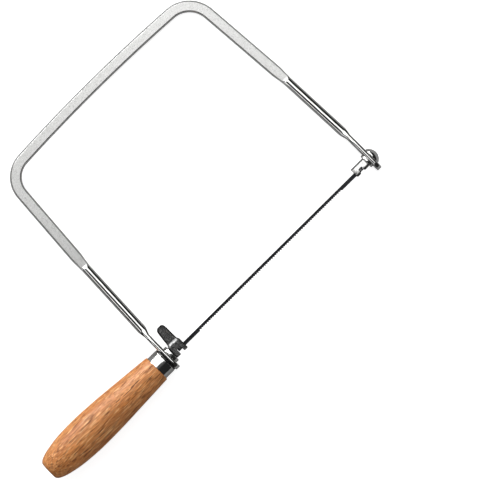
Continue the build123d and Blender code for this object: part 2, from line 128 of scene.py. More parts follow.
class Workpiece:
    """One mesh under work, shaped with Blender's own modelling tools."""

    def __init__(self, name: str) -> None:
        """Clears the selection, so that the next primitive is worked alone.

        Args:
            name: the finished piece's name.
        """
        bpy.ops.object.select_all(action="DESELECT")
        self.name = name
        self.object: bpy.types.Object = None

    def _take(self) -> "Workpiece":
        """Takes the new primitive as this piece, with its place in its mesh.

        Returns:
            This piece.
        """
        self.object = bpy.context.object
        self.object.name = self.name
        self.object.data.name = self.name
        bpy.ops.object.transform_apply(location=True, rotation=True, scale=True)
        return self

    def ring(self, radius: float, x: float, vertices: int) -> "Workpiece":
        """Starts with an open ring round the X axis.

        Args:
            radius: its radius.
            x: its place along X.
            vertices: how many points it has.

        Returns:
            This piece.
        """
        bpy.ops.mesh.primitive_circle_add(
            vertices=vertices, radius=radius, location=(x, 0, 0), rotation=(math.pi / 2, 0, math.pi / 2)
        )
        return self._take()

    def plane(self, low: Point, high: Point, z: float) -> "Workpiece":
        """Starts with a flat sheet square to Z.

        Args:
            low: its lowest X and Y.
            high: its highest X and Y.
            z: its height.

        Returns:
            This piece.
        """
        middle = ((low[0] + high[0]) / 2, (low[1] + high[1]) / 2, z)
        bpy.ops.mesh.primitive_plane_add(size=1, location=middle)
        bpy.context.object.scale = (high[0] - low[0], high[1] - low[1], 1)
        return self._take()

    def box(self, low: Sequence[float], high: Sequence[float]) -> "Workpiece":
        """Starts with a block between two corners.

        Args:
            low: its lowest corner.
            high: its highest corner.

        Returns:
            This piece.
        """
        middle = [(a + b) / 2 for a, b in zip(low, high)]
        bpy.ops.mesh.primitive_cube_add(size=1, location=middle)
        bpy.context.object.scale = [b - a for a, b in zip(low, high)]
        return self._take()

    def alone(self) -> None:
        """Makes this the only selected piece, and the active one."""
        bpy.ops.object.select_all(action="DESELECT")
        self.object.select_set(True)
        bpy.context.view_layer.objects.active = self.object

    def place(self, matrix: Matrix) -> "Workpiece":
        """Moves the piece and takes the move into its mesh.

        Args:
            matrix: where it goes.

        Returns:
            This piece.
        """
        self.alone()
        self.object.matrix_world = matrix
        bpy.ops.object.transform_apply(location=True, rotation=True, scale=True)
        return self

    def edit(self) -> None:
        """Enters edit mode on this piece alone, selecting by points."""
        bpy.context.view_layer.objects.active = self.object
        bpy.ops.object.mode_set(mode="EDIT")
        bpy.ops.mesh.select_mode(type="VERT")

    def done(self) -> None:
        """Leaves edit mode."""
        bpy.ops.object.mode_set(mode="OBJECT")

    def select(self, test: Callable[[Vector], bool], mode: str = "VERT") -> int:
        """Selects what lies where a test says, in edit mode.

        Args:
            test: says whether a point is in. An edge or face is tested at its middle.
            mode: VERT, EDGE or FACE.

        Returns:
            How many were selected.
        """
        bpy.ops.mesh.select_mode(type=mode)
        bpy.ops.mesh.select_all(action="DESELECT")
        mesh = bmesh.from_edit_mesh(self.object.data)
        if mode == "VERT":
            chosen = [v for v in mesh.verts if test(v.co)]
        elif mode == "EDGE":
            chosen = [e for e in mesh.edges if test((e.verts[0].co + e.verts[1].co) / 2)]
        else:
            chosen = [f for f in mesh.faces if test(f.calc_center_median())]
        for element in chosen:
            element.select_set(True)
        mesh.select_flush_mode()
        bmesh.update_edit_mesh(self.object.data)
        return len(chosen)

    def extrude(self, move: Sequence[float]) -> None:
        """Pulls new faces out of what is selected.

        Args:
            move: how far.
        """
        bpy.ops.mesh.extrude_region_move(TRANSFORM_OT_translate={"value": tuple(move)})

    def resize(self, factors: Sequence[float], centre: Sequence[float]) -> None:
        """Scales what is selected.

        Args:
            factors: one for each axis.
            centre: the point that stays.
        """
        bpy.ops.transform.resize(value=tuple(factors), center_override=tuple(centre))

    def cut(self, at: Sequence[float], normal: Sequence[float]) -> None:
        """Cuts new edges right round the piece along a plane, in edit mode.

        Args:
            at: a point of the plane.
            normal: the plane's normal.
        """
        bpy.ops.mesh.select_all(action="SELECT")
        bpy.ops.mesh.bisect(plane_co=at, plane_no=normal)

    def modify(self, kind: str, **settings: object) -> "Workpiece":
        """Adds a modifier and applies it.

        Args:
            kind: the modifier's type.
            settings: its settings.

        Returns:
            This piece.
        """
        self.alone()
        bpy.ops.object.modifier_add(type=kind)
        modifier = self.object.modifiers[-1]
        for key, value in settings.items():
            setattr(modifier, key, value)
        bpy.ops.object.modifier_apply(modifier=modifier.name)
        return self

    def soften(self, width: float, segments: int = 3, angle: float = 30.0) -> "Workpiece":
        """Rounds every edge sharper than an angle.

        Args:
            width: the width of the rounding.
            segments: its steps.
            angle: the least angle, in degrees.

        Returns:
            This piece.
        """
        return self.modify(
            "BEVEL", width=width, segments=segments, limit_method="ANGLE", angle_limit=math.radians(angle)
        )

    def smooth(self, angle: float = 35.0) -> "Workpiece":
        """Shades the surface smooth, but for edges sharper than an angle.

        Args:
            angle: that angle, in degrees.

        Returns:
            This piece.
        """
        self.alone()
        bpy.ops.object.shade_smooth_by_angle(angle=math.radians(angle))
        return self

    def tidy(self) -> "Workpiece":
        """Merges doubled points and turns every face outwards.

        Returns:
            This piece.
        """
        self.edit()
        bpy.ops.mesh.select_all(action="SELECT")
        bpy.ops.mesh.remove_doubles(threshold=TOUCHING)
        bpy.ops.mesh.normals_make_consistent(inside=False)
        self.done()
        return self

    def swallow(self, other: "Workpiece") -> "Workpiece":
        """Joins another piece's mesh to this one.

        Args:
            other: the piece that goes.

        Returns:
            This piece.
        """
        self.alone()
        other.object.select_set(True)
        bpy.ops.object.join()
        return self

    def bore(self, radius: float, start: float, end: float, steps: int = 48) -> "Workpiece":
        """Drills a round hole along the turning axis.

        Args:
            radius: the hole's radius.
            start: X where the drill starts.
            end: X where it ends.
            steps: the hole's facets.

        Returns:
            This piece.
        """
        drill = Turning("drill", steps).turn([(start, radius), (end, radius)])
        self.modify("BOOLEAN", operation="DIFFERENCE", object=drill.object, solver="EXACT")
        bpy.data.objects.remove(drill.object)
        return self

    def lay_down(self, bench: Bench) -> "Workpiece":
        """Puts the piece where the saw lies, with its place in its mesh.

        Args:
            bench: the saw's place.

        Returns:
            This piece.
        """
        return self.place(bench.matrix)


class Turning(Workpiece):
    """A round piece, turned on the X axis ring by ring."""

    def __init__(self, name: str, steps: int = 96) -> None:
        """Sets up the lathe.

        Args:
            name: the piece's name.
            steps: points in each ring.
        """
        super().__init__(name)
        self.steps = steps

    def turn(self, outline: Sequence[Point], closed: bool = False) -> "Turning":
        """Turns an outline.

        Args:
            outline: (x, radius) of each ring. A last radius of 0 closes the end to a point.
            closed: the outline is a loop, as of a tube; otherwise its ends are faced flat.

        Returns:
            This piece.
        """
        self.ring(outline[0][1], outline[0][0], self.steps)
        self.edit()
        bpy.ops.mesh.select_all(action="SELECT")
        for (x, radius), (to_x, to_radius) in zip(outline, outline[1:]):
            self.extrude((to_x - x, 0, 0))
            if to_radius > 0:
                factor = to_radius / radius
                self.resize((1, factor, factor), (to_x, 0, 0))
        if closed:
            self.extrude((outline[0][0] - outline[-1][0], 0, 0))
            factor = outline[0][1] / outline[-1][1]
            self.resize((1, factor, factor), (outline[0][0], 0, 0))
        elif outline[-1][1] == 0:
            bpy.ops.mesh.merge(type="CENTER")
        else:
            bpy.ops.mesh.edge_face_add()
        if not closed:
            self.select(lambda p: abs(p.x - outline[0][0]) < SAME)
            bpy.ops.mesh.edge_face_add()
        self.done()
        self.tidy()
        return self

    def tube(self, low: Vector, high: Vector, bore: float) -> "Turning":
        """Turns a plain ring, square in section.

        Args:
            low: its lowest corner.
            high: its highest corner, whose Y is the ring's radius.
            bore: the radius of the hole through it.

        Returns:
            This piece.
        """
        outline = [(low.x, bore), (low.x, high.y), (high.x, high.y), (high.x, bore)]
        return self.turn(outline, closed=True)


def clamp(number: float) -> float:
    """Keeps a number between 0 and 1.

    Args:
        number: the number.

    Returns:
        The number, or the nearer limit.
    """
    return min(max(number, 0.0), 1.0)


def between(start: float, end: float, part: float) -> float:
    """A number part of the way from one to another.

    Args:
        start: the number at part 0.
        end: the number at part 1.
        part: how far along.

    Returns:
        The number there.
    """
    return start + (end - start) * part


def ease(part: float) -> float:
    """Eases a way from 0 to 1, so that it starts and ends level.

    Args:
        part: how far along, from 0 to 1.

    Returns:
        The eased part.
    """
    return part * part * (3 - 2 * part)


def parts(count: int) -> list[float]:
    """Even steps up to 1.

    Args:
        count: how many.

    Returns:
        How far along each step ends.
    """
    return [i / count for i in range(1, count + 1)]


def arc(centre: Point, radius: float, start: float, end: float, steps: int) -> list[Point]:
    """Points of an arc.

    Args:
        centre: its centre.
        radius: its radius.
        start: first angle, in degrees.
        end: last angle, in degrees.
        steps: how many runs it has.

    Returns:
        The points, both ends among them.
    """
    angles = [math.radians(start + (end - start) * i / steps) for i in range(steps + 1)]
    return [(centre[0] + radius * math.cos(a), centre[1] + radius * math.sin(a)) for a in angles]


def eased(stations: Sequence[Point], steps: int) -> list[Point]:
    """A smooth outline through stations, by cubic runs whose slopes come from the neighbours.

    Args:
        stations: (x, radius) in order.
        steps: runs between each two stations.

    Returns:
        The outline.
    """
    slopes = []
    for i in range(len(stations)):
        before, after = stations[max(i - 1, 0)], stations[min(i + 1, len(stations) - 1)]
        slopes.append((after[1] - before[1]) / (after[0] - before[0]))
    outline = []
    for i, ((x0, y0), (x1, y1)) in enumerate(zip(stations, stations[1:])):
        span = x1 - x0
        for k in range(steps):
            t = k / steps
            rise = (1 + 2 * t) * (1 - t) ** 2 * y0 + t * t * (3 - 2 * t) * y1
            lean = t * (1 - t) ** 2 * span * slopes[i] - t * t * (1 - t) * span * slopes[i + 1]
            outline.append((x0 + t * span, rise + lean))
    return outline + [stations[-1]]


# ---- shader maths ---------------------------------------------------------------------------------


class Value:
    """A number that varies over a surface, with Python's operators."""

    def __init__(self, tree: bpy.types.NodeTree, socket: bpy.types.NodeSocket) -> None:
        """Wraps a socket.

        Args:
            tree: the node tree it is in.
            socket: the output that gives the number.
        """
        self.tree = tree
        self.socket = socket

    def math(self, operation: str, *others: Number, first: Optional[Number] = None) -> "Value":
        """Adds one Math node.

        Args:
            operation: its operation.
            others: the numbers after this one.
            first: a number that comes before this one instead.

        Returns:
            The result.
        """
        node = self.tree.nodes.new("ShaderNodeMath")
        node.operation = operation
        terms = [self, *others] if first is None else [first, self]
        for socket, term in zip(node.inputs, terms):
            if isinstance(term, Value):
                self.tree.links.new(term.socket, socket)
            else:
                socket.default_value = term
        return Value(self.tree, node.outputs[0])

    def __add__(self, other: Number) -> "Value":
        """Adds a number.

        Args:
            other: the number.

        Returns:
            The sum.
        """
        return self.math("ADD", other)

    __radd__ = __add__

    def __sub__(self, other: Number) -> "Value":
        """Takes a number away.

        Args:
            other: the number.

        Returns:
            The difference.
        """
        return self.math("SUBTRACT", other)

    def __rsub__(self, other: Number) -> "Value":
        """Takes this away from a plain number.

        Args:
            other: the number.

        Returns:
            The difference.
        """
        return self.math("SUBTRACT", first=other)

    def __mul__(self, other: Number) -> "Value":
        """Multiplies by a number.

        Args:
            other: the number.

        Returns:
            The product.
        """
        return self.math("MULTIPLY", other)

    __rmul__ = __mul__

    def __truediv__(self, other: Number) -> "Value":
        """Divides by a number.

        Args:
            other: the number.

        Returns:
            The quotient.
        """
        return self.math("DIVIDE", other)

    def step(self, low: float, high: float) -> "Value":
        """Rises smoothly from 0 at low to 1 at high.

        Args:
            low: where it leaves 0.
            high: where it reaches 1. A high below low makes it fall instead.

        Returns:
            The step, between 0 and 1.
        """
        node = self.tree.nodes.new("ShaderNodeMapRange")
        node.interpolation_type = "SMOOTHSTEP"
        falls = high < low
        node.inputs["From Min"].default_value = min(low, high)
        node.inputs["From Max"].default_value = max(low, high)
        node.inputs["To Min"].default_value = float(falls)
        node.inputs["To Max"].default_value = float(not falls)
        self.tree.links.new(self.socket, node.inputs["Value"])
        return Value(self.tree, node.outputs["Result"])


class Shading:
    """A node tree under work."""

    def __init__(self, tree: bpy.types.NodeTree) -> None:
        """Wraps a tree.

        Args:
            tree: the node tree.
        """
        self.tree = tree

    def node(
        self, kind: str, settings: Optional[dict] = None, inputs: Optional[dict] = None
    ) -> bpy.types.Node:
        """Adds a node.

        Args:
            kind: its type.
            settings: attributes, set first.
            inputs: a value or a link for each socket, by name or number.

        Returns:
            The node.
        """
        node = self.tree.nodes.new(kind)
        for key, setting in (settings or {}).items():
            setattr(node, key, setting)
        for key, given in (inputs or {}).items():
            self.feed(node.inputs[key], given)
        return node

    def feed(self, socket: bpy.types.NodeSocket, given: object) -> None:
        """Gives a socket a value or a link.

        Args:
            socket: the input.
            given: a Value, an output socket or a plain value.
        """
        if isinstance(given, Value):
            given = given.socket
        if isinstance(given, bpy.types.NodeSocket):
            self.tree.links.new(given, socket)
        else:
            socket.default_value = given

    def value(self, socket: bpy.types.NodeSocket) -> Value:
        """Wraps an output as a number.

        Args:
            socket: the output.

        Returns:
            The number.
        """
        return Value(self.tree, socket)


class Surface(Shading):
    """A material under work: its nodes and its Principled shader."""

    def __init__(self, name: str, bench: Bench) -> None:
        """Starts a material whose patterns are in the saw's frame, in millimetres.

        Args:
            name: the material's name.
            bench: the saw's place.
        """
        self.material = bpy.data.materials.new(name)
        self.material.use_nodes = True
        super().__init__(self.material.node_tree)
        self.shader = self.tree.nodes["Principled BSDF"]
        back = bench.matrix.inverted()
        object_point = self.node("ShaderNodeTexCoord").outputs["Object"]
        mapping = self.node(
            "ShaderNodeMapping",
            inputs={
                "Vector": object_point,
                "Location": tuple(back.translation / MM),
                "Rotation": tuple(back.to_euler()),
                "Scale": (1 / MM,) * 3,
            },
        )
        self.point = mapping.outputs["Vector"]

    def axes(self) -> tuple[Value, Value, Value]:
        """The surface point in the saw's frame.

        Returns:
            Its X, Y and Z, in millimetres.
        """
        split = self.node("ShaderNodeSeparateXYZ", inputs={"Vector": self.point})
        return tuple(self.value(split.outputs[axis]) for axis in "XYZ")

    def mark(self, name: str) -> Value:
        """A mark that the mesh carries on its points.

        Args:
            name: the attribute's name.

        Returns:
            The mark, between 0 and 1.
        """
        return self.value(self.node("ShaderNodeAttribute", {"attribute_name": name}).outputs["Fac"])

    def stretched(self, x: float, y: float, z: float) -> bpy.types.NodeSocket:
        """The surface point with each axis scaled, for patterns that run along one of them.

        Args:
            x: the scale along X. A small one draws the pattern out.
            y: the scale along Y.
            z: the scale along Z.

        Returns:
            The scaled point.
        """
        inputs = {0: self.point, 1: (x, y, z)}
        return self.node("ShaderNodeVectorMath", {"operation": "MULTIPLY"}, inputs).outputs[0]

    def noise(
        self, scale: float, detail: float = 3.0, at: Optional[bpy.types.NodeSocket] = None, rough: float = 0.5
    ) -> Value:
        """Cloudy noise about 0.5.

        Args:
            scale: its cells per unit.
            detail: its octaves.
            at: the point it is read at, which is the surface point if left out.
            rough: how strong each octave is against the one before.

        Returns:
            The noise.
        """
        inputs = {"Vector": at or self.point, "Scale": scale, "Detail": detail, "Roughness": rough}
        return self.value(self.node("ShaderNodeTexNoise", inputs=inputs).outputs["Fac"])

    def cells(self, scale: float, at: Optional[bpy.types.NodeSocket] = None) -> Value:
        """Distance to the nearest of many scattered points.

        Args:
            scale: points per unit.
            at: the point it is read at.

        Returns:
            The distance, in cells.
        """
        inputs = {"Vector": at or self.point, "Scale": scale}
        return self.value(self.node("ShaderNodeTexVoronoi", inputs=inputs).outputs["Distance"])

    def mix(self, factor: Number, low: object, high: object) -> bpy.types.NodeSocket:
        """Mixes two colours.

        Args:
            factor: 0 for low, 1 for high.
            low: a colour or a colour socket.
            high: a colour or a colour socket.

        Returns:
            The mixed colour.
        """
        node = self.node("ShaderNodeMix", {"data_type": "RGBA"})
        self.feed(node.inputs[0], factor)
        for socket, colour in ((node.inputs[6], low), (node.inputs[7], high)):
            self.feed(socket, (*colour, 1.0) if isinstance(colour, tuple) else colour)
        return node.outputs[2]

    def bump(self, height: Value, depth: float, strength: float = 1.0) -> bpy.types.NodeSocket:
        """A normal from a height.

        Args:
            height: the height, about 0 to 1.
            depth: what a height of 1 stands for, in millimetres.
            strength: how much of it shows.

        Returns:
            The normal.
        """
        inputs = {"Height": height, "Distance": depth * MM, "Strength": strength}
        return self.node("ShaderNodeBump", inputs=inputs).outputs["Normal"]

    def finish(self, **inputs: object) -> bpy.types.Material:
        """Feeds the shader and gives the material.

        Args:
            inputs: the shader's sockets, with _ for spaces.

        Returns:
            The material.
        """
        for key, given in inputs.items():
            if isinstance(given, tuple):
                given = (*given, 1.0)
            self.feed(self.shader.inputs[key.replace("_", " ")], given)
        return self.material


# ---- finishes -------------------------------------------------------------------------------------


class Grain(Enum):
    """Which way a metal's fine scratches run, as the scale of each axis."""

    ALONG = (0.02, 1.0, 1.0)
    ROUND = (1.0, 0.02, 0.02)


@dataclass(frozen=True)
class Plated:
    """Bright plate: mirror-like, with faint scratches, cloudy smears and a few pits."""

    name: str = "bright_nickel_plate"
    colour: Colour = (0.80, 0.80, 0.79)
    tarnish: Colour = (0.58, 0.56, 0.53)
    grain: Grain = Grain.ROUND
    roughness: float = 0.07
    pit: Colour = (0.13, 0.11, 0.09)

    def make(self, bench: Bench) -> bpy.types.Material:
        """Builds the material.

        Args:
            bench: the saw's place.

        Returns:
            The material.
        """
        s = Surface(self.name, bench)
        clouds = s.noise(0.22, 4)
        scratches = s.noise(9.0, 3, s.stretched(*self.grain.value)).step(0.56, 0.72)
        pits = s.cells(1.1).step(0.085, 0.04) * s.noise(0.5).step(0.5, 0.62)
        colour = s.mix(clouds.step(0.5, 0.78) * 0.5, self.colour, self.tarnish)
        colour = s.mix(pits, colour, self.pit)
        roughness = clouds.step(0.42, 0.75) * 0.08 + scratches * 0.07 + pits * 0.3 + self.roughness
        normal = s.bump(1.0 - scratches * 0.15 - pits, depth=0.01, strength=0.5)
        return s.finish(Base_Color=colour, Roughness=roughness, Metallic=1.0, Normal=normal)


@dataclass(frozen=True)
class PlateWithPaintedShade(Plated):
    """Plated sheet with painted shade: dark bands over its fold and along its cut foot stand for the dark
    reflections and shadow at those rounded edges.
    """

    # painted shade: the Y spans, in mm, where the fold and the foot go dark, and the dark they go to
    fold: Point = (1.95, 2.45)
    foot: Point = (-1.3, -2.1)
    dark: Colour = (0.02, 0.02, 0.02)

    def make(self, bench: Bench) -> bpy.types.Material:
        """Builds the material.

        Args:
            bench: the saw's place.

        Returns:
            The material.
        """
        s = Surface(self.name, bench)
        _, y, _ = s.axes()
        ragged = y + (s.noise(1.3, 3) - 0.5) * 0.8
        clouds = s.noise(0.4, 4)
        scratches = s.noise(7.0, 3, s.stretched(*self.grain.value)).step(0.54, 0.7)
        # painted shade: dark bands at the fold and along the foot
        dark = ragged.step(*self.fold).math("MAXIMUM", ragged.step(*self.foot))
        colour = s.mix(clouds.step(0.45, 0.7) * 0.6, self.colour, self.tarnish)
        colour = s.mix(dark * 0.94, colour, self.dark)
        roughness = clouds * 0.1 + scratches * 0.08 + dark * 0.5 + self.roughness
        normal = s.bump(1.0 - scratches * 0.3 - dark * 0.4, depth=0.02, strength=0.6)
        return s.finish(Base_Color=colour, Roughness=roughness, Metallic=1.0, Normal=normal)


@dataclass(frozen=True)
class PressedBow:
    """The bow's plate: bright on the round bar, satin and speckled where the bar is pressed flat."""

    name: str = "bow_nickel_plate"
    bright: Colour = (0.82, 0.82, 0.81)
    satin: Colour = (0.72, 0.72, 0.71)
    speckle: Colour = (0.34, 0.34, 0.33)
    bright_cloud: Colour = (0.66, 0.65, 0.62)
    satin_cloud: Colour = (0.60, 0.60, 0.59)
    pit: Colour = (0.14, 0.12, 0.10)

    def make(self, bench: Bench) -> bpy.types.Material:
        """Builds the material.

        Args:
            bench: the saw's place.

        Returns:
            The material.
        """
        s = Surface(self.name, bench)
        pressed = s.mark("pressed")
        grit = s.noise(3.2, 4, rough=0.65)
        clouds = s.noise(0.09, 4)
        drawn = s.noise(5.0, 3, s.stretched(1.0, 0.03, 1.0)).step(0.5, 0.75)
        pits = s.cells(0.8).step(0.07, 0.03) * s.noise(0.35).step(0.52, 0.62)
        bright = s.mix(clouds.step(0.5, 0.8) * 0.4, self.bright, self.bright_cloud)
        satin = s.mix(grit.step(0.47, 0.68), self.satin, self.speckle)
        satin = s.mix(s.noise(1.2, 3, rough=0.7).step(0.54, 0.68) * 0.6, satin, self.speckle)
        satin = s.mix(clouds.step(0.4, 0.75) * 0.35, satin, self.satin_cloud)
        colour = s.mix(pits, s.mix(pressed, bright, satin), self.pit)
        dull = grit * 0.16 + 0.30
        shine = clouds.step(0.45, 0.8) * 0.07 + drawn * 0.06 + 0.07
        roughness = pressed * dull + (1 - pressed) * shine + pits * 0.2
        height = pressed * grit + (1 - pressed) * drawn * 0.12 - pits * 0.5
        normal = s.bump(height, depth=0.03, strength=0.6)
        return s.finish(Base_Color=colour, Roughness=roughness, Metallic=1.0, Normal=normal)


@dataclass(frozen=True)
class DarkSteel:
    """Bare dark steel: mottled, oiled, rubbed brighter in places, and darkened along a piece's edges as
    painted shade where the piece asks for it.
    """

    name: str = "burnished_steel"
    dark: Colour = (0.045, 0.045, 0.047)
    light: Colour = (0.19, 0.19, 0.188)
    rust: Colour = (0.10, 0.06, 0.035)
    mottle: float = 0.9
    roughness: float = 0.14
    # painted shade: how strongly a piece's edges are darkened, for the dark reflections its rounded edges
    # show
    painted_edge_shade: float = 0.0
    worn: Colour = (0.30, 0.30, 0.30)
    # painted shade: the near black that the edges are darkened to
    painted_shade_colour: Colour = (0.008, 0.008, 0.008)

    def make(self, bench: Bench) -> bpy.types.Material:
        """Builds the material.

        Args:
            bench: the saw's place.

        Returns:
            The material.
        """
        s = Surface(self.name, bench)
        mottle = s.noise(self.mottle, 5, rough=0.6)
        fine = s.noise(5.0, 3)
        rubbed = s.noise(0.35, 3).step(0.5, 0.7) * fine.step(0.4, 0.65)
        colour = s.mix(mottle.step(0.36, 0.66), self.dark, self.light)
        colour = s.mix(rubbed * 0.4, colour, self.worn)
        colour = s.mix(s.noise(0.6, 4).step(0.62, 0.72) * 0.35, colour, self.rust)
        # painted shade: darkens the points that the edge mark puts near the outline
        if self.painted_edge_shade:
            edge = (s.mark("edge") + (fine - 0.5) * 0.3).step(0.45, 0.75)
            colour = s.mix(edge * self.painted_edge_shade, colour, self.painted_shade_colour)
        roughness = mottle * 0.14 + fine * 0.10 + self.roughness - rubbed * 0.06
        normal = s.bump(mottle * 0.6 + fine * 0.4, depth=0.06, strength=0.8)
        return s.finish(Base_Color=colour, Roughness=roughness, Metallic=0.9, Normal=normal)


@dataclass(frozen=True)
class BladeSteel:
    """Blued blade: near black, with grinding marks, and bright where the teeth are cut."""

    name: str = "blade_steel"
    tooth_root: float = -1.65
    dark: Colour = (0.009, 0.010, 0.012)
    blued: Colour = (0.035, 0.035, 0.039)
    cut: Colour = (0.16, 0.16, 0.165)

    def make(self, bench: Bench) -> bpy.types.Material:
        """Builds the material.

        Args:
            bench: the saw's place.

        Returns:
            The material.
        """
        s = Surface(self.name, bench)
        _, y, _ = s.axes()
        mottle = s.noise(0.8, 4)
        ground = s.noise(6.0, 3, s.stretched(0.05, 1.0, 1.0))
        teeth = y.step(self.tooth_root + 0.05, self.tooth_root - 0.35)
        colour = s.mix(mottle.step(0.35, 0.68), self.dark, self.blued)
        colour = s.mix(teeth * ground.step(0.3, 0.7) * 0.5, colour, self.cut)
        roughness = ground * 0.2 + mottle * 0.12 + 0.22
        normal = s.bump(ground, depth=0.012, strength=0.6)
        return s.finish(Base_Color=colour, Roughness=roughness, Metallic=0.85, Normal=normal)


@dataclass(frozen=True)
class OiledWood:
    """Open-pored hardwood turned along its grain, under a satin oil finish."""

    name: str = "oiled_hardwood"
    bright: Colour = (0.98, 0.56, 0.235)
    pale: Colour = (0.76, 0.315, 0.098)
    warm: Colour = (0.61, 0.22, 0.055)
    deep: Colour = (0.34, 0.095, 0.020)
    pore: Colour = (0.13, 0.036, 0.009)
    soiled: Colour = (0.22, 0.085, 0.03)
    pith: Point = (-34.0, -21.0)
    ring_width: float = 2.7

    def make(self, bench: Bench) -> bpy.types.Material:
        """Builds the material.

        Args:
            bench: the saw's place.

        Returns:
            The material.
        """
        s = Surface(self.name, bench)
        x, y, z = s.axes()
        sway = s.noise(1.0, 2, s.stretched(0.018, 0.05, 0.05)) - 0.5
        off_y = y - self.pith[0] + x * 0.055 + sway * 14.0
        off_z = z - self.pith[1] - x * 0.03
        from_pith = (off_y * off_y + off_z * off_z).math("SQRT") + (s.noise(0.16, 3) - 0.5) * 1.6
        ring = (from_pith / self.ring_width).math("FRACT")
        late = ring.step(0.35, 0.95) * ring.step(1.0, 0.96)
        clouds = s.noise(1.0, 4, s.stretched(0.02, 0.12, 0.12))
        fibre = s.noise(1.0, 4, s.stretched(0.10, 2.6, 2.6), 0.6)
        streaks = s.noise(1.0, 2, s.stretched(0.085, 1.6, 1.6)).step(0.52, 0.63)
        dashes = s.noise(1.0, 1, s.stretched(0.24, 2.6, 2.6)).step(0.56, 0.66)
        pores = streaks.math("MAXIMUM", dashes * 0.7) * (ring.step(0.75, 0.2) * 0.5 + 0.5)
        lights = s.noise(1.0, 2, s.stretched(0.10, 1.3, 1.5)).step(0.46, 0.34)
        flecks = s.cells(1.0, s.stretched(0.5, 1.5, 1.5)).step(0.16, 0.07) * 0.5
        colour = s.mix(clouds.step(0.3, 0.72), self.pale, self.warm)
        colour = s.mix(lights * 0.85, colour, self.bright)
        colour = s.mix(late * 0.3, colour, self.deep)
        colour = s.mix(fibre.step(0.42, 0.75) * 0.5, colour, self.deep)
        colour = s.mix(pores * 0.92, colour, self.pore)
        colour = s.mix(flecks * 0.45, colour, self.deep)
        handled = s.noise(0.05, 3).step(0.5, 0.8)
        colour = s.mix(handled * 0.2, colour, self.soiled)
        roughness = fibre * 0.16 + pores * 0.22 + handled * 0.08 + 0.40
        coat = 0.10 - pores * 0.08
        normal = s.bump(1.0 - pores * 0.8 - fibre * 0.4 - flecks * 0.2, depth=0.10, strength=0.7)
        return s.finish(
            Base_Color=colour, Roughness=roughness, Coat_Weight=coat, Coat_Roughness=0.22, Normal=normal
        )


# ---- sub-assemblies -------------------------------------------------------------------------------


@dataclass
class SubAssembly:
    """What every sub-assembly of the saw shares."""

    frame: dict
    bench: Bench
    made: list[bpy.types.Object] = field(default_factory=list)

    def extent(self, node: str) -> tuple[Vector, Vector]:
        """A CAD node's corners in the saw's frame.

        Args:
            node: the node's name.

        Returns:
            Its lowest and highest corner, in metres.
        """
        return self.bench.extent(self.frame["nodes"][node])

    def add(self, piece: Workpiece, node: str, body: str, slot: str, material: bpy.types.Material) -> None:
        """Lays a finished piece down, dresses it and lets it ride.

        Args:
            piece: the piece.
            node: the CAD node that it stands for.
            body: the body that it rides on.
            slot: the record's material slot; not used.
            material: its material.
        """
        piece.lay_down(self.bench)
        piece.object.data.materials.clear()
        piece.object.data.materials.append(material)
        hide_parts(node)
        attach(piece.object, body)
        self.made.append(piece.object)

    def keep(self, node: str, material: bpy.types.Material) -> None:
        """Keeps a CAD node and gives it a better material.

        Args:
            node: the node.
            material: its material.
        """
        kept = self.frame["nodes"][node]
        kept.data.materials.clear()
        kept.data.materials.append(material)
        self.made.append(kept)


class Side(Enum):
    """The two ends of the bow."""

    NEAR = -1
    FAR = 1


@dataclass(frozen=True)
class ArmLine:
    """Centre line of one arm. Half spans are counted from the bow's middle."""

    foot_half_span: float
    lean: float
    knee_height: float
    shoulder_half_span: float
    corner_radius: float


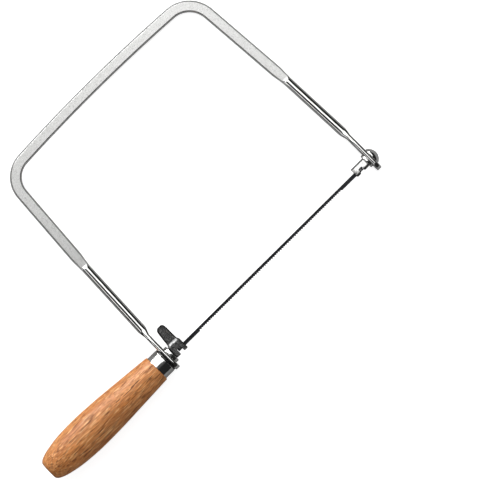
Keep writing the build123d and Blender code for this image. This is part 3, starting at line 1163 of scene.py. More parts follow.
@dataclass
class Bow(SubAssembly):
    """The bow: one round bar, its tongues and back pressed flat, then bent."""

    near_line: ArmLine = ArmLine(89.35 * MM, 2.28, 78.5 * MM, 82.98 * MM, 16.8 * MM)
    far_line: ArmLine = ArmLine(89.62 * MM, 2.7, 73.5 * MM, 81.95 * MM, 18.5 * MM)
    bar_radius: float = 3.0 * MM
    flat_half_width: float = 3.8 * MM
    knee_half_width: float = 3.15 * MM
    flat_half_thickness: float = 2.1 * MM
    back_height: float = 156.4 * MM
    arch_radius: float = 1150.0 * MM
    shoulder_height: float = 139.7 * MM
    foot_height: float = 24.3 * MM
    run_out: float = 8.5 * MM
    ramp: float = 1.4 * MM
    neck_height: float = 19.0 * MM
    neck_half_span: float = 89.9 * MM
    neck_half_depth: float = 3.9 * MM
    tongue_half_thickness: float = 1.6 * MM
    tongue_half_depth: float = 5.25 * MM
    tongue_top: float = 12.7 * MM
    tongue_end_radius: float = 4.9 * MM
    eye_radius: float = 2.58 * MM
    eye_reach: float = 4.0 * MM
    edge: float = 0.32 * MM
    fuller: float = 0.75
    least_depth: float = 0.05
    ring_points: int = 48
    leg_steps: int = 12
    run_out_steps: int = 8
    arm_steps: int = 12
    corner_steps: int = 30
    back_steps: int = 24
    neck_steps: int = 8
    tongue_steps: int = 6
    end_steps: int = 10
    middle: float = field(init=False, default=0.0)
    tip: float = field(init=False, default=0.0)
    tongue_half_span: float = field(init=False, default=0.0)

    def build(self) -> None:
        """Makes both halves, joins them at the middle of the back and drills the eyes."""
        self.middle = self.extent("far_collar")[1].x / 2
        self.tongue_half_span = self.middle + self.tongue_half_thickness
        self.tip = self.extent("bow")[0].y
        bow = self.half(Side.NEAR)
        bow.swallow(self.half(Side.FAR))
        bow.tidy()
        bow.soften(self.edge, angle=24)
        for side in Side:
            centre = self.middle + side.value * self.tongue_half_span
            bow.bore(self.eye_radius, centre - self.eye_reach, centre + self.eye_reach)
        bow.smooth(40)
        self.add(bow, "bow", "bow", "satin_nickel", PressedBow().make(self.bench))

    def route(self, side: Side) -> tuple[list[Vector], dict[str, float]]:
        """The centre line of one half, from its tip to the middle of the back.

        Args:
            side: which half.

        Returns:
            Its points, and the distance along it of each named place.
        """
        line = self.near_line if side is Side.NEAR else self.far_line
        climbed = line.knee_height - self.foot_height
        knee = Vector((line.foot_half_span - climbed * math.tan(math.radians(line.lean)), line.knee_height))
        shoulder = Vector((line.shoulder_half_span, self.shoulder_height))
        way = (shoulder - knee).normalized()
        inward = Vector((-way.y, way.x))
        arch_centre = Vector((0, self.back_height - self.arch_radius))
        reach = self.arch_radius - line.corner_radius
        offset = shoulder + inward * line.corner_radius - arch_centre
        along = offset.dot(way)
        climb = -along + math.sqrt(along**2 - offset.dot(offset) + reach**2)
        start = shoulder + way * climb
        corner = start + inward * line.corner_radius
        outward = (corner - arch_centre).normalized()
        places = {
            "tip": Vector((self.tongue_half_span, self.tip)),
            "tongue_top": Vector((self.tongue_half_span, self.tongue_top)),
            "neck": Vector((self.neck_half_span, self.neck_height)),
            "foot": Vector((line.foot_half_span, self.foot_height)),
            "knee": knee,
            "corner": start,
        }
        points = list(places.values())
        marks = dict(zip(places, self.distances(points)))
        first = math.degrees(math.atan2(-inward.y, -inward.x))
        last = math.degrees(math.atan2(outward.y, outward.x))
        bent = arc(corner, line.corner_radius, first, last, self.corner_steps)[1:]
        bent += arc(arch_centre, self.arch_radius, last, 90.0, self.back_steps)[1:]
        points += [Vector(p) for p in bent]
        along_route = self.distances(points)
        marks["corner_end"] = along_route[len(places) + self.corner_steps - 1]
        marks["middle"] = along_route[-1]
        placed = [Vector((self.middle + side.value * p.x, p.y, 0)) for p in points]
        return placed, marks

    @staticmethod
    def distances(points: Sequence[Vector]) -> list[float]:
        """Distance of each point along the line through them.

        Args:
            points: the points, in order.

        Returns:
            The distances, the first of them 0.
        """
        total = [0.0]
        for a, b in zip(points, points[1:]):
            total.append(total[-1] + (b - a).length)
        return total

    def half(self, side: Side) -> Workpiece:
        """Forges one half of the bar straight, then bends it.

        Args:
            side: which half.

        Returns:
            The bent half, open at the middle of the back.
        """
        points, marks = self.route(side)
        bar = Workpiece("bow_bar" if side is Side.NEAR else "bow_bar_far")
        bar.ring(self.bar_radius, marks["foot"], self.ring_points)
        bar.edit()
        self.forge_back(bar, marks)
        self.forge_tongue(bar, marks)
        bar.done()
        self.mark_pressed(bar, marks)
        self.bend(bar, points)
        return bar

    @staticmethod
    def draw_out(bar: Workpiece, x: float, stop: float, steps: int) -> float:
        """Draws the selected end of the bar out in even steps.

        Args:
            bar: the bar, in edit mode.
            x: where its end is.
            stop: where it is to be.
            steps: how many steps.

        Returns:
            The new place of its end.
        """
        for _ in range(steps):
            bar.extrude(((stop - x) / steps, 0, 0))
        return stop

    def forge_back(self, bar: Workpiece, marks: dict[str, float]) -> None:
        """Draws the bar out from the foot to the middle of the back, pressed flat from the knee on.

        Args:
            bar: the ring at the foot, in edit mode.
            marks: the places along the bar.
        """
        bpy.ops.mesh.select_all(action="SELECT")
        x = self.draw_out(bar, marks["foot"], marks["knee"] - self.ramp, self.leg_steps)
        x = self.draw_out(bar, x, x + self.ramp, 1)
        width = self.knee_half_width
        bar.resize((1, width / self.bar_radius, 1), (x, 0, 0))
        for side in (-1, 1):
            level = side * self.flat_half_thickness
            bar.select(lambda p: abs(p.x - x) < SAME and p.z * side > self.flat_half_thickness)
            bar.resize((1, 1, 0), (x, 0, level))
        bar.select(lambda p: abs(p.x - x) < SAME)
        for part in parts(self.run_out_steps):
            wider = between(self.knee_half_width, self.flat_half_width, ease(part))
            x = self.draw_out(bar, x, x + self.run_out / self.run_out_steps, 1)
            bar.resize((1, wider / width, 1), (x, 0, 0))
            width = wider
        x = self.draw_out(bar, x, marks["corner"], self.arm_steps)
        x = self.draw_out(bar, x, marks["corner_end"], self.corner_steps)
        self.draw_out(bar, x, marks["middle"], self.back_steps)

    def forge_tongue(self, bar: Workpiece, marks: dict[str, float]) -> None:
        """Draws the foot down to the thin, deep tongue and rounds its end.

        Args:
            bar: the bar, in edit mode.
            marks: the places along the bar.
        """
        bar.select(lambda p: abs(p.x - marks["foot"]) < SAME)
        x, thin, deep = marks["foot"], self.bar_radius, self.bar_radius
        stations = []
        for part in parts(self.neck_steps):
            stations.append((
                between(marks["foot"], marks["neck"], part),
                between(self.bar_radius, self.tongue_half_thickness, ease(part)),
                between(self.bar_radius, self.neck_half_depth, ease(part)),
            ))
        for part in parts(self.tongue_steps):
            stations.append((
                between(marks["neck"], marks["tongue_top"], part),
                self.tongue_half_thickness,
                between(self.neck_half_depth, self.tongue_half_depth, ease(part)),
            ))
        end = self.tongue_end_radius
        stations += [(end * 2, self.tongue_half_thickness, self.tongue_half_depth)]
        for part in (0.0, *parts(self.end_steps)):
            angle = math.radians(90 * part)
            depth = self.tongue_half_depth * max(math.cos(angle), self.least_depth)
            stations.append((end * (1 - math.sin(angle)), self.tongue_half_thickness, depth))
        for to_x, to_thin, to_deep in stations:
            bar.extrude((to_x - x, 0, 0))
            bar.resize((1, to_thin / thin, to_deep / deep), (to_x, 0, 0))
            x, thin, deep = to_x, to_thin, to_deep
        bpy.ops.mesh.edge_face_add()
        self.press_tongue(bar, marks)

    def press_tongue(self, bar: Workpiece, marks: dict[str, float]) -> None:
        """Squares the tongue's oval up to a flat strip with rounded edges.

        Args:
            bar: the bar, in edit mode.
            marks: the places along the bar.
        """
        bpy.ops.mesh.select_all(action="DESELECT")
        mesh = bmesh.from_edit_mesh(bar.object.data)
        for vertex in mesh.verts:
            if vertex.co.x < marks["foot"] - TOUCHING:
                flat = 1 - clamp((vertex.co.x - marks["neck"]) / (marks["foot"] - marks["neck"]))
                limit = between(self.tongue_half_thickness, self.bar_radius, 1 - flat)
                vertex.co.y = max(-limit, min(limit, vertex.co.y * (1 + self.fuller * flat)))
        bmesh.update_edit_mesh(bar.object.data)

    def mark_pressed(self, bar: Workpiece, marks: dict[str, float]) -> None:
        """Marks the points of the pressed flats, for the satin finish.

        Args:
            bar: the bar.
            marks: the places along the bar.
        """
        pressed = bar.object.data.attributes.new("pressed", "FLOAT", "POINT")
        level = self.flat_half_thickness
        for vertex, mark in zip(bar.object.data.vertices, pressed.data):
            on_flat = abs(abs(vertex.co.z) - level) < TOUCHING and vertex.co.x > marks["knee"] - TOUCHING
            mark.value = 1.0 if on_flat else 0.0

    def bend(self, bar: Workpiece, points: Sequence[Vector]) -> None:
        """Bends the straight bar along its centre line.

        Args:
            bar: the straight bar, along X.
            points: the centre line.
        """
        curve = bpy.data.curves.new("bow_centre_line", "CURVE")
        curve.dimensions = "2D"
        spline = curve.splines.new("POLY")
        spline.points.add(len(points) - 1)
        for knot, point in zip(spline.points, points):
            knot.co = (*point, 1.0)
        former = bpy.data.objects.new("bow_centre_line", curve)
        bpy.context.scene.collection.objects.link(former)
        bar.modify("CURVE", object=former, deform_axis="POS_X")
        bpy.data.objects.remove(former)


@dataclass
class Handle(SubAssembly):
    """The turned handle with its ferrule, thrust washer and insert."""

    front_radius: float = 9.45 * MM
    front_chamfer: float = 0.4 * MM
    length: float = 94.2 * MM
    lean: float = -1.2
    ferrule_wall: float = 0.9 * MM
    bore_radius: float = 2.58 * MM
    wood_bore: float = 1.2
    bore_depth: float = 48.0 * MM
    butt_edge: float = 0.5 * MM
    mouth_edge: Point = (0.15 * MM, 0.12 * MM)
    ferrule_roll: float = 0.6 * MM
    steel_dark: Colour = (0.30, 0.29, 0.27)
    steel_light: Colour = (0.52, 0.51, 0.48)
    washer_dark: Colour = (0.02, 0.02, 0.02)
    washer_light: Colour = (0.07, 0.07, 0.07)
    stations: tuple[Point, ...] = (
        (8.0, 10.0), (22.7, 11.0), (38.0, 12.05), (50.0, 12.6), (60.0, 12.8), (70.0, 12.45),
        (77.0, 11.85), (83.0, 10.85), (87.5, 9.85), (91.0, 8.6), (93.0, 7.45), (94.1, 6.1),
    )

    def build(self) -> None:
        """Makes the four pieces."""
        self.wood()
        self.ferrule()
        self.washer()
        steel = DarkSteel("turned_steel", self.steel_dark, self.steel_light)
        self.keep("handle_insert", steel.make(self.bench))

    def wood(self) -> None:
        """Turns the handle: swell, flat butt, and the tenon inside the ferrule."""
        front = self.extent("handle")[1].x
        ferrule_low, ferrule_high = self.extent("ferrule")
        shoulder = ferrule_low.x
        tenon = ferrule_high.y - self.ferrule_wall
        outline = [(front, tenon), (shoulder, tenon), (shoulder, self.front_radius - self.front_chamfer)]
        profile = [(shoulder - back * MM, radius * MM) for back, radius in self.stations]
        start = (shoulder - self.front_chamfer, self.front_radius)
        outline += eased([start, *profile], 6)
        outline += [(shoulder - self.length, self.stations[-1][1] * MM - self.butt_edge)]
        handle = Turning("turned_handle", 128).turn(outline)
        handle.edit()
        handle.select(lambda p: p.x < shoulder - 0.1 * MM)
        lean = -math.radians(self.lean)
        bpy.ops.transform.rotate(value=lean, orient_axis="Z", center_override=(shoulder, 0, 0))
        handle.done()
        handle.bore(self.bore_radius * self.wood_bore, front - self.bore_depth, front + MM)
        handle.smooth(32)
        self.add(handle, "handle", "handle", "oiled_wood", OiledWood().make(self.bench))

    def ferrule(self) -> None:
        """Turns the plated cup over the tenon: eased at its mouth, rolled over at its closed end."""
        low, high = self.extent("ferrule")
        radius, wall, roll = high.y, self.ferrule_wall, self.ferrule_roll
        along, inward = self.mouth_edge
        outline = [(low.x, radius - wall), (low.x, radius - inward), (low.x + along, radius)]
        outline += [(between(low.x, high.x, part), radius) for part in (0.3, 0.6)]
        outline += arc((high.x - roll, radius - roll), roll, 90, 0, 6)
        outline += [(high.x, self.bore_radius), (high.x - wall, self.bore_radius)]
        outline += [(high.x - wall, radius - wall)]
        ferrule = Turning("ferrule_cup").turn(outline, closed=True).smooth(32)
        self.add(ferrule, "ferrule", "handle", "bright_nickel", Plated("ferrule_nickel").make(self.bench))

    def washer(self) -> None:
        """Turns the thrust washer between ferrule and arm."""
        low, high = self.extent("thrust_washer")
        washer = Turning("thrust_ring").tube(low, high, self.bore_radius).soften(0.2 * MM).smooth()
        steel = DarkSteel("washer_steel", self.washer_dark, self.washer_light)
        self.add(washer, "thrust_washer", "handle", "washer_steel", steel.make(self.bench))


@dataclass
class HookEnd(SubAssembly):
    """What both ends share: a collar on a stem, and a hook folded from sheet."""

    sheet: float = 1.0 * MM
    half_gap: float = 1.1 * MM
    notch_top: float = -0.1 * MM
    notch_width: float = 3.05 * MM
    corner: float = 0.7 * MM
    edge: float = 0.46 * MM
    collar_edge: float = 0.5 * MM
    stem_radius: float = 2.5 * MM
    stem_clearance: float = 0.05 * MM
    tang_half_height: float = 2.2 * MM
    tang_lead: float = 0.35 * MM
    tang_edge: float = 0.15 * MM
    pin_play: float = 0.1 * MM

    def collar(self, node: str, name: str, body: str) -> None:
        """Turns the collar between arm and hook.

        Args:
            node: its CAD node.
            name: the new piece's name.
            body: the body that it rides on.
        """
        low, high = self.extent(node)
        ring = Turning(name).tube(low, high, self.stem_radius + self.stem_clearance)
        ring.soften(self.collar_edge, segments=5, angle=60).smooth()
        self.add(ring, node, body, "bright_nickel", Plated("collar_nickel").make(self.bench))

    def cheek(self, name: str, node: str, notch: tuple[float, float]) -> Workpiece:
        """Cuts one cheek with its notch out of flat sheet, at the cheek's outer face.

        Args:
            name: the piece's name.
            node: the hook's CAD node.
            notch: the notch's lowest and highest X.

        Returns:
            The flat cheek, in edit mode.
        """
        low, high = self.extent(node)
        top = self.fold_height(high)
        sheet = Workpiece(name).plane((low.x, low.y), (high.x, top), high.z)
        sheet.edit()
        for x in notch:
            sheet.cut((x, 0, 0), (1, 0, 0))
        sheet.cut((0, self.notch_top, 0), (0, 1, 0))
        sheet.select(lambda p: notch[0] < p.x < notch[1] and p.y < self.notch_top, "FACE")
        bpy.ops.mesh.delete(type="FACE")
        return sheet

    def round_corners(self, sheet: Workpiece, low: Vector, high: Vector, notch: tuple[float, float]) -> None:
        """Rounds the corners of the notch and of the two prongs, in edit mode.

        Args:
            sheet: the sheet.
            low: the hook's lowest corner.
            high: the hook's highest corner.
            notch: the notch's lowest and highest X.
        """

        def is_corner(p: Vector) -> bool:
            """Tells a corner of notch or prong.

            Args:
                p: a point of the sheet.

            Returns:
                Whether it is one.
            """
            in_notch = min(abs(p.x - x) for x in notch) < TOUCHING
            at_end = min(abs(p.x - low.x), abs(p.x - high.x)) < TOUCHING
            foot = abs(p.y - low.y) < TOUCHING
            return (in_notch and (foot or abs(p.y - self.notch_top) < TOUCHING)) or (at_end and foot)

        sheet.select(is_corner)
        bpy.ops.mesh.bevel(offset=self.corner, segments=5, affect="VERTICES")

    def fold_height(self, high: Vector) -> float:
        """Finds how far up the cheek is flat.

        Args:
            high: the hook's highest corner.

        Returns:
            The Y where the sheet begins to fold.
        """
        return high.y

    def thicken(self, sheet: Workpiece) -> Workpiece:
        """Gives the folded half its thickness, mirrors it and eases its edges.

        Args:
            sheet: the folded half, at its outer face.

        Returns:
            The whole hook.
        """
        sheet.modify("SOLIDIFY", thickness=self.sheet, offset=-1, use_even_offset=True)
        sheet.edit()
        sheet.select(lambda p: abs(p.z) < SEAM, "FACE")
        bpy.ops.mesh.delete(type="FACE")
        sheet.select(lambda p: abs(p.z) < SEAM)
        sheet.resize((1, 1, 0), (0, 0, 0))
        sheet.done()
        sheet.modify("MIRROR", use_axis=(False, False, True), use_mirror_merge=True, merge_threshold=1e-5)
        sheet.tidy()
        return sheet.soften(self.edge, segments=4, angle=40).smooth(40)

    def flatten_end(self, rod: Workpiece, start: float, end: float) -> None:
        """Draws a rod's end face out to a flat tang between the cheeks.

        Args:
            rod: the rod.
            start: X of its end face.
            end: X of the tang's end.
        """
        rod.edit()
        rod.select(lambda p: abs(p.x - start) < SAME, "FACE")
        lead = math.copysign(self.tang_lead, end - start)
        factors = (1, self.tang_half_height / self.stem_radius, self.half_gap / self.stem_radius)
        rod.extrude((lead, 0, 0))
        rod.resize(factors, (start + lead, 0, 0))
        rod.extrude((end - start - lead, 0, 0))
        rod.done()
        rod.tidy()
        rod.soften(self.tang_edge, segments=2, angle=50)


@dataclass
class NearEnd(HookEnd):
    """The near end: collar, threaded stem, and the hook with its lever."""

    pinch_height: float = 5.4 * MM
    lever_base: Point = (3.45 * MM, 11.15 * MM)
    lever_tip_radius: float = 3.1 * MM
    lever_tip_x: float = 7.92 * MM
    flat_top: float = 3.8 * MM
    lever_shoulder: float = 14.8 * MM
    edge_reach: float = 1.9 * MM
    sides: Point = (2.3 * MM, 12.05 * MM)
    fold_radius: float = 0.45 * MM
    tip_round: float = 0.98
    grid: float = 0.6
    grid_reach: tuple[Point, Point] = ((2.6, 12.0), (-4.0, 17.6))
    stem_edge: float = 0.6 * MM

    def build(self) -> None:
        """Makes the three pieces."""
        self.collar("near_collar", "near_collar_ring", "near_swivel")
        self.hook()
        self.stem()

    def fold_height(self, high: Vector) -> float:
        """Finds how far up the cheek is flat.

        Args:
            high: the hook's highest corner; not used.

        Returns:
            The Y where the sheet begins to fold.
        """
        return self.flat_top

    def hook(self) -> None:
        """Folds the near hook and pinches its lever."""
        low, high = self.extent("near_hook")
        pin_high = self.extent("near_blade_pin")[1].x
        notch = (pin_high + self.pin_play - self.notch_width, pin_high + self.pin_play)
        sheet = self.cheek("near_hook_sheet", "near_hook", notch)
        sheet.select(lambda p: abs(p.y - self.flat_top) < SAME, "EDGE")
        drop = high.z - self.sheet
        sheet.extrude((0, self.pinch_height - self.flat_top, -drop))
        self.fit_row(sheet, (low.x, high.x), self.lever_base, self.pinch_height)
        tip = self.lever_tip()
        sheet.extrude((0, high.y - self.pinch_height, 0))
        self.fit_row(sheet, self.lever_base, tip, high.y)
        sheet.select(lambda p: abs(p.y - high.y) < TOUCHING and min(abs(p.x - x) for x in tip) < TOUCHING)
        bpy.ops.mesh.bevel(offset=self.lever_tip_radius * self.tip_round, segments=8, affect="VERTICES")
        self.round_corners(sheet, low, high, notch)
        folds = (self.flat_top, self.pinch_height)
        sheet.select(lambda p: min(abs(p.y - fold) for fold in folds) < TOUCHING, "EDGE")
        bpy.ops.mesh.bevel(offset=self.fold_radius, segments=4, affect="EDGES")
        sheet.done()
        hook = self.thicken(sheet)
        self.mark_edge_shade(hook)
        # painted shade along the lever's outline, where its rounded edges show dark reflections
        steel = DarkSteel(painted_edge_shade=0.95).make(self.bench)
        self.add(hook, "near_hook", "near_hook", "burnished_steel", steel)

    def lever_tip(self) -> Point:
        """Finds the lever's width at its tip.

        Returns:
            Its lowest and highest X.
        """
        return self.lever_tip_x - self.lever_tip_radius, self.lever_tip_x + self.lever_tip_radius

    def mark_edge_shade(self, hook: Workpiece) -> None:
        """Cuts the hook's sides into a fine grid and marks how near each point is to its outline, for the
        painted shade along it.

        Args:
            hook: the whole hook.
        """
        hook.edit()
        for axis, (start, end) in enumerate(self.grid_reach):
            normal = [float(i == axis) for i in range(3)]
            for step in range(int((end - start) / self.grid) + 1):
                hook.cut([(start + step * self.grid) * MM * along for along in normal], normal)
        hook.done()
        edge = hook.object.data.attributes.new("edge", "FLOAT", "POINT")
        tip = self.lever_tip()
        for vertex, mark in zip(hook.object.data.vertices, edge.data):
            x, y, _ = vertex.co
            climb = clamp((y - self.pinch_height) / (self.lever_shoulder - self.pinch_height))
            low, high = (between(base, top, climb) for base, top in zip(self.lever_base, tip))
            if y < self.flat_top:
                low, high = self.sides
            inside = min(x - low, high - x)
            if y > self.lever_shoulder:
                inside = self.lever_tip_radius - math.hypot(x - self.lever_tip_x, y - self.lever_shoulder)
            mark.value = 1.0 - clamp(inside / self.edge_reach)

    @staticmethod
    def fit_row(sheet: Workpiece, old: Point, new: Point, y: float) -> None:
        """Fits the selected row of points from one stretch of X to another.

        Args:
            sheet: the sheet, in edit mode.
            old: the stretch that it covers.
            new: the stretch that it is to cover.
            y: its height.
        """
        factor = (new[1] - new[0]) / (old[1] - old[0])
        centre = (new[0] - factor * old[0]) / (1 - factor)
        sheet.resize((factor, 1, 1), (centre, y, 0))

    def stem(self) -> None:
        """Turns the stem, and flattens its end to a tang between the cheeks."""
        low, high = self.extent("near_stem")
        hook_x = self.extent("near_hook")[0].x
        radius, edge = self.stem_radius, self.stem_edge
        outline = [(low.x, radius - edge), (low.x + edge, radius), (hook_x, radius)]
        stem = Turning("near_stem_rod", 48).turn(outline)
        self.flatten_end(stem, hook_x, high.x)
        stem.smooth()
        self.add(stem, "near_stem", "near_hook", "bright_nickel", Plated("stem_nickel").make(self.bench))


@dataclass
class FarEnd(HookEnd):
    """The far end: the domed rivet, collar and plain hook."""

    head_radius: float = 5.6 * MM
    head_rim: float = 0.8 * MM
    tongue_thickness: float = 3.2 * MM
    head_clearance: float = 0.03 * MM
    head_edge: float = 0.15 * MM
    fold_radius: float = 0.9 * MM
    plate: Colour = (0.72, 0.72, 0.71)
    tarnish: Colour = (0.42, 0.41, 0.39)

    def build(self) -> None:
        """Makes the three pieces."""
        self.collar("far_collar", "far_collar_ring", "far_hook")
        self.hook()
        self.rivet()

    def hook(self) -> None:
        """Folds the far hook over its web."""
        low, high = self.extent("far_hook")
        pin_low = self.extent("far_blade_pin")[0].x
        notch = (pin_low - self.pin_play, pin_low - self.pin_play + self.notch_width)
        sheet = self.cheek("far_hook_sheet", "far_hook", notch)
        sheet.select(lambda p: abs(p.y - high.y) < SAME, "EDGE")
        sheet.extrude((0, 0, -high.z))
        self.round_corners(sheet, low, high, notch)
        sheet.select(lambda p: abs(p.y - high.y) < TOUCHING and abs(p.z - high.z) < TOUCHING, "EDGE")
        bpy.ops.mesh.bevel(offset=self.fold_radius, segments=6, affect="EDGES")
        sheet.done()
        hook = self.thicken(sheet)
        # painted shade darkens its fold and its foot
        plate = PlateWithPaintedShade("hook_nickel", self.plate, self.tarnish, Grain.ALONG, roughness=0.12)
        self.add(hook, "far_hook", "far_hook", "bright_nickel", plate.make(self.bench))

    def rivet(self) -> None:
        """Turns the rivet: domed head, shank, and the tang in the hook."""
        low, high = self.extent("far_rivet")
        arm_face = self.extent("far_collar")[1].x + self.tongue_thickness + self.head_clearance
        hook_x = self.extent("far_hook")[1].x
        crown = high.x - arm_face - self.head_rim
        sphere = (self.head_radius**2 + crown**2) / (2 * crown)
        spread = math.degrees(math.asin(self.head_radius / sphere))
        dome = arc((high.x - sphere, 0), sphere, spread, 0, 14)
        outline = [(hook_x, self.stem_radius), (arm_face, self.stem_radius)]
        radius, edge = self.head_radius, self.head_edge
        outline += [(arm_face, radius - edge), (arm_face + edge, radius)]
        outline += dome[:-1] + [(high.x, 0.0)]
        rivet = Turning("far_rivet_head").turn(outline)
        self.flatten_end(rivet, hook_x, low.x)
        rivet.smooth(32)
        self.add(rivet, "far_rivet", "far_hook", "bright_nickel", Plated("rivet_nickel").make(self.bench))


@dataclass
class Blade(SubAssembly):
    """The blade and its two cross pins."""

    tooth_count: int = 80
    teeth_per_inch: int = 16
    inch: float = 25.4
    tooth_depth: float = 0.75 * MM
    tooth_set: float = 0.12 * MM
    gullet_start: float = 0.12 * MM
    tooth_back: float = 0.45
    point: tuple[float, float, float] = (0.12, 1.0, 0.8)
    pin_edge: float = 0.15 * MM

    def build(self) -> None:
        """Makes the strip and the pins."""
        steel = BladeSteel().make(self.bench)
        self.strip(steel)
        for node, name in (("near_blade_pin", "near_cross_pin"), ("far_blade_pin", "far_cross_pin")):
            self.pin(node, name)

    def strip(self, steel: bpy.types.Material) -> None:
        """Cuts two teeth with opposite set, repeats them, and adds the plain ends.

        Args:
            steel: the blade's material.
        """
        low, high = self.extent("blade")
        near, far = self.extent("near_blade_pin"), self.extent("far_blade_pin")
        spacing = (far[0].x + far[1].x - near[0].x - near[1].x) / 2
        pitch = self.inch / self.teeth_per_inch * MM
        first = (near[0].x + near[1].x) / 2 + (spacing - self.tooth_count * pitch) / 2
        pair = self.tooth("blade_strip", first, pitch, low, high, self.tooth_set)
        pair.swallow(self.tooth("blade_tooth", first + pitch, pitch, low, high, -self.tooth_set))
        pair.modify(
            "ARRAY", count=self.tooth_count // 2, use_relative_offset=False, use_constant_offset=True,
            constant_offset_displace=(2 * pitch, 0, 0),
        )
        last = first + self.tooth_count * pitch
        for start, end, name in ((low.x, first, "blade_near_end"), (last, high.x, "blade_far_end")):
            pair.swallow(Workpiece(name).box((start, low.y, low.z), (end, high.y, high.z)))
        pair.smooth(20)
        self.add(pair, "blade", "blade", "blade_steel", steel)

    def tooth(self, name: str, x: float, pitch: float, low: Vector, high: Vector, lean: float) -> Workpiece:
        """One tooth with the strip behind it, its point bent to one side.

        Args:
            name: the piece's name.
            x: where it starts.
            pitch: its length.
            low: the blade's lowest corner.
            high: the blade's highest corner.
            lean: how far its point is bent along Z.

        Returns:
            The tooth.
        """
        gullet = low.y + self.tooth_depth
        block = Workpiece(name).box((x, gullet, low.z), (x + pitch, high.y, high.z))
        block.edit()
        back = self.tooth_back * pitch
        block.cut((x + self.gullet_start, 0, 0), (1, 0, 0))
        block.cut((x + back, 0, 0), (1, 0, 0))
        block.select(lambda p: abs(p.y - gullet) < SAME and p.x > x + back, "FACE")
        block.extrude((0, -self.tooth_depth, lean))
        block.resize(self.point, (x + pitch, low.y, lean))
        block.done()
        return block

    def pin(self, node: str, name: str) -> None:
        """Turns one cross pin, which stands square to the blade.

        Args:
            node: its CAD node.
            name: the piece's name.
        """
        low, high = self.extent(node)
        radius, edge = (high.x - low.x) / 2, self.pin_edge
        outline = [(low.z, radius - edge), (low.z + edge, radius)]
        outline += [(high.z - edge, radius), (high.z, radius - edge)]
        pin = Turning(name, 40).turn(outline)
        upright = Matrix.Rotation(math.radians(-90), 4, "Y")
        middle = (low + high) / 2
        pin.place(Matrix.Translation((middle.x, middle.y, 0)) @ upright).smooth()
        self.add(pin, node, "blade", "blade_steel", DarkSteel("pin_steel").make(self.bench))


# ---- studio ---------------------------------------------------------------------------------------


@dataclass(frozen=True)
class Softbox:
    """One soft panel, placed as the camera sees it: to the right, up, and over the bench."""

    name: str
    place: tuple[float, float, float]
    size: Point
    radiance: float
    aimed: bool = False
    mirrored: bool = True


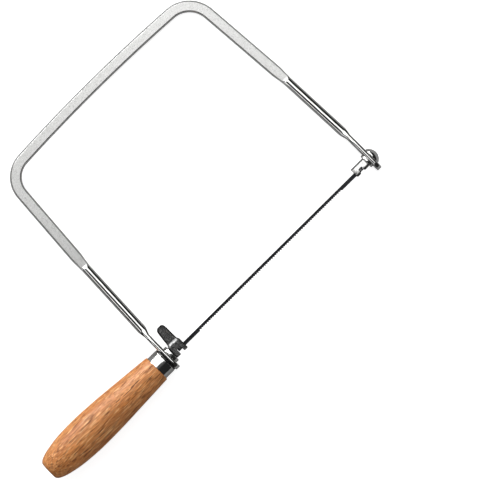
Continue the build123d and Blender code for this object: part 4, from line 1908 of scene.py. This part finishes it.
@dataclass
class Studio:
    """Floor, light and camera."""

    bench: Bench
    view_turn: float = -44.7
    view_centre: Point = (83.3 * MM, 20.9 * MM)
    distance: float = 2.5
    field_width: float = 304.8 * MM
    sensor: float = 36.0
    room: float = 0.02
    overhead: float = 0.10
    overhead_lean: float = 7.0
    overhead_fade: Point = (24.0, 9.0)
    clip: Point = (0.05, 20.0)
    floor_size: float = 6.0
    floor_pale: float = 0.55
    floor_glow: float = 0.82
    floor_dark: float = 0.30
    boxes: tuple[Softbox, ...] = (
        Softbox("key_panel", (-0.36, 0.76, 1.2), (1.68, 1.31), 1.7),
        Softbox("back_panel", (-0.85, 1.15, 0.6), (1.5, 0.8), 8.0, True),
        Softbox("side_strip", (-0.50, -0.42, 0.5), (0.5, 0.16), 1.6, True),
        Softbox("fill_panel", (0.9, -0.9, 0.9), (1.3, 1.3), 1.35, True, mirrored=False),
    )
    right: Vector = field(init=False, default=None)
    up: Vector = field(init=False, default=None)
    target: Vector = field(init=False, default=None)

    def build(self) -> None:
        """Sets the scene up round the saw."""
        turn = math.radians(self.view_turn)
        self.right = Vector((math.cos(turn), math.sin(turn), 0))
        self.up = Vector((-math.sin(turn), math.cos(turn), 0))
        self.target = self.bench.matrix @ Vector((*self.view_centre, 0))
        self.floor()
        self.world()
        for box in self.boxes:
            self.light(box)
        self.camera()
        bpy.context.scene.view_settings.view_transform = "Standard"

    def floor(self) -> None:
        """Lays the plain pale floor, a softly backlit sheet that reflections see dark."""
        bpy.ops.object.select_all(action="DESELECT")
        bpy.ops.mesh.primitive_plane_add(size=self.floor_size)
        floor = bpy.context.object
        floor.name = "floor"
        material = bpy.data.materials.new("pale_floor")
        material.use_nodes = True
        shading = Shading(material.node_tree)
        shader = shading.tree.nodes["Principled BSDF"]
        for name, given in (
            ("Base Color", (*(self.floor_pale,) * 3, 1)),
            ("Roughness", 0.9),
            ("Specular IOR Level", 0.0),
            ("Emission Color", (1, 1, 1, 1)),
            ("Emission Strength", self.floor_glow),
        ):
            shading.feed(shader.inputs[name], given)
        shade = shading.node("ShaderNodeBsdfDiffuse", inputs={"Color": (*(self.floor_dark,) * 3, 1)})
        seen = shading.node("ShaderNodeLightPath").outputs["Is Camera Ray"]
        mix = shading.node("ShaderNodeMixShader", inputs={0: seen, 1: shade.outputs[0], 2: shader.outputs[0]})
        shading.feed(shading.tree.nodes["Material Output"].inputs["Surface"], mix.outputs[0])
        floor.data.materials.append(material)

    def world(self) -> None:
        """Fills the room: dark all round, with a dim patch overhead."""
        world = bpy.data.worlds.new("studio")
        bpy.context.scene.world = world
        world.use_nodes = True
        shading = Shading(world.node_tree)
        centre = (Vector((0, 0, 1)) + self.up * math.tan(math.radians(self.overhead_lean))).normalized()
        direction = shading.node("ShaderNodeTexCoord").outputs["Generated"]
        dot = shading.node("ShaderNodeVectorMath", {"operation": "DOT_PRODUCT"}, {0: direction, 1: centre})
        outer, inner = (math.cos(math.radians(angle)) for angle in self.overhead_fade)
        patch = shading.value(dot.outputs["Value"]).step(outer, inner)
        background = shading.tree.nodes["Background"]
        shading.feed(background.inputs["Strength"], patch * (self.overhead - self.room) + self.room)
        shading.feed(background.inputs["Color"], (1, 1, 1, 1))

    def light(self, box: Softbox) -> None:
        """Hangs one soft panel.

        Args:
            box: the panel.
        """
        data = bpy.data.lights.new(box.name, "AREA")
        data.shape = "RECTANGLE"
        data.size, data.size_y = box.size
        data.energy = box.radiance * math.pi * box.size[0] * box.size[1]
        lamp = bpy.data.objects.new(box.name, data)
        lamp.visible_glossy = box.mirrored
        right, up, height = box.place
        offset = self.right * right + self.up * up + Vector((0, 0, height))
        lamp.location = self.target + offset
        lamp.rotation_euler = (0, 0, math.radians(self.view_turn))
        if box.aimed:
            lamp.rotation_euler = (-offset).to_track_quat("-Z", "Y").to_euler()
        bpy.context.scene.collection.objects.link(lamp)

    def camera(self) -> None:
        """Looks straight down on the saw through a long lens."""
        data = bpy.data.cameras.new("camera")
        data.sensor_width = self.sensor
        data.lens = self.sensor * self.distance / self.field_width
        data.clip_start, data.clip_end = self.clip
        camera = bpy.data.objects.new("camera", data)
        camera.location = self.target + Vector((0, 0, self.distance))
        camera.rotation_euler = (0, 0, math.radians(self.view_turn))
        bpy.context.scene.collection.objects.link(camera)
        bpy.context.scene.camera = camera


def report(objects: Iterable[bpy.types.Object]) -> None:
    """Logs each finished piece with its size.

    Args:
        objects: the pieces.
    """
    for piece in objects:
        size = ", ".join(f"{length / MM:.1f}" for length in piece.dimensions)
        LOG.info("%s: %d faces, %s mm", piece.name, len(piece.data.polygons), size)


def main() -> None:
    """Builds the saw and its studio in order."""
    logging.basicConfig(level=logging.INFO, format="%(name)s %(message)s")
    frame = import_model()
    bench = Bench.from_record(frame["record"])
    for sub_assembly in (Bow, Handle, NearEnd, FarEnd, Blade):
        part = sub_assembly(frame, bench)
        part.build()
        report(part.made)
    Studio(bench).build()


if __name__ == "__main__":
    main()
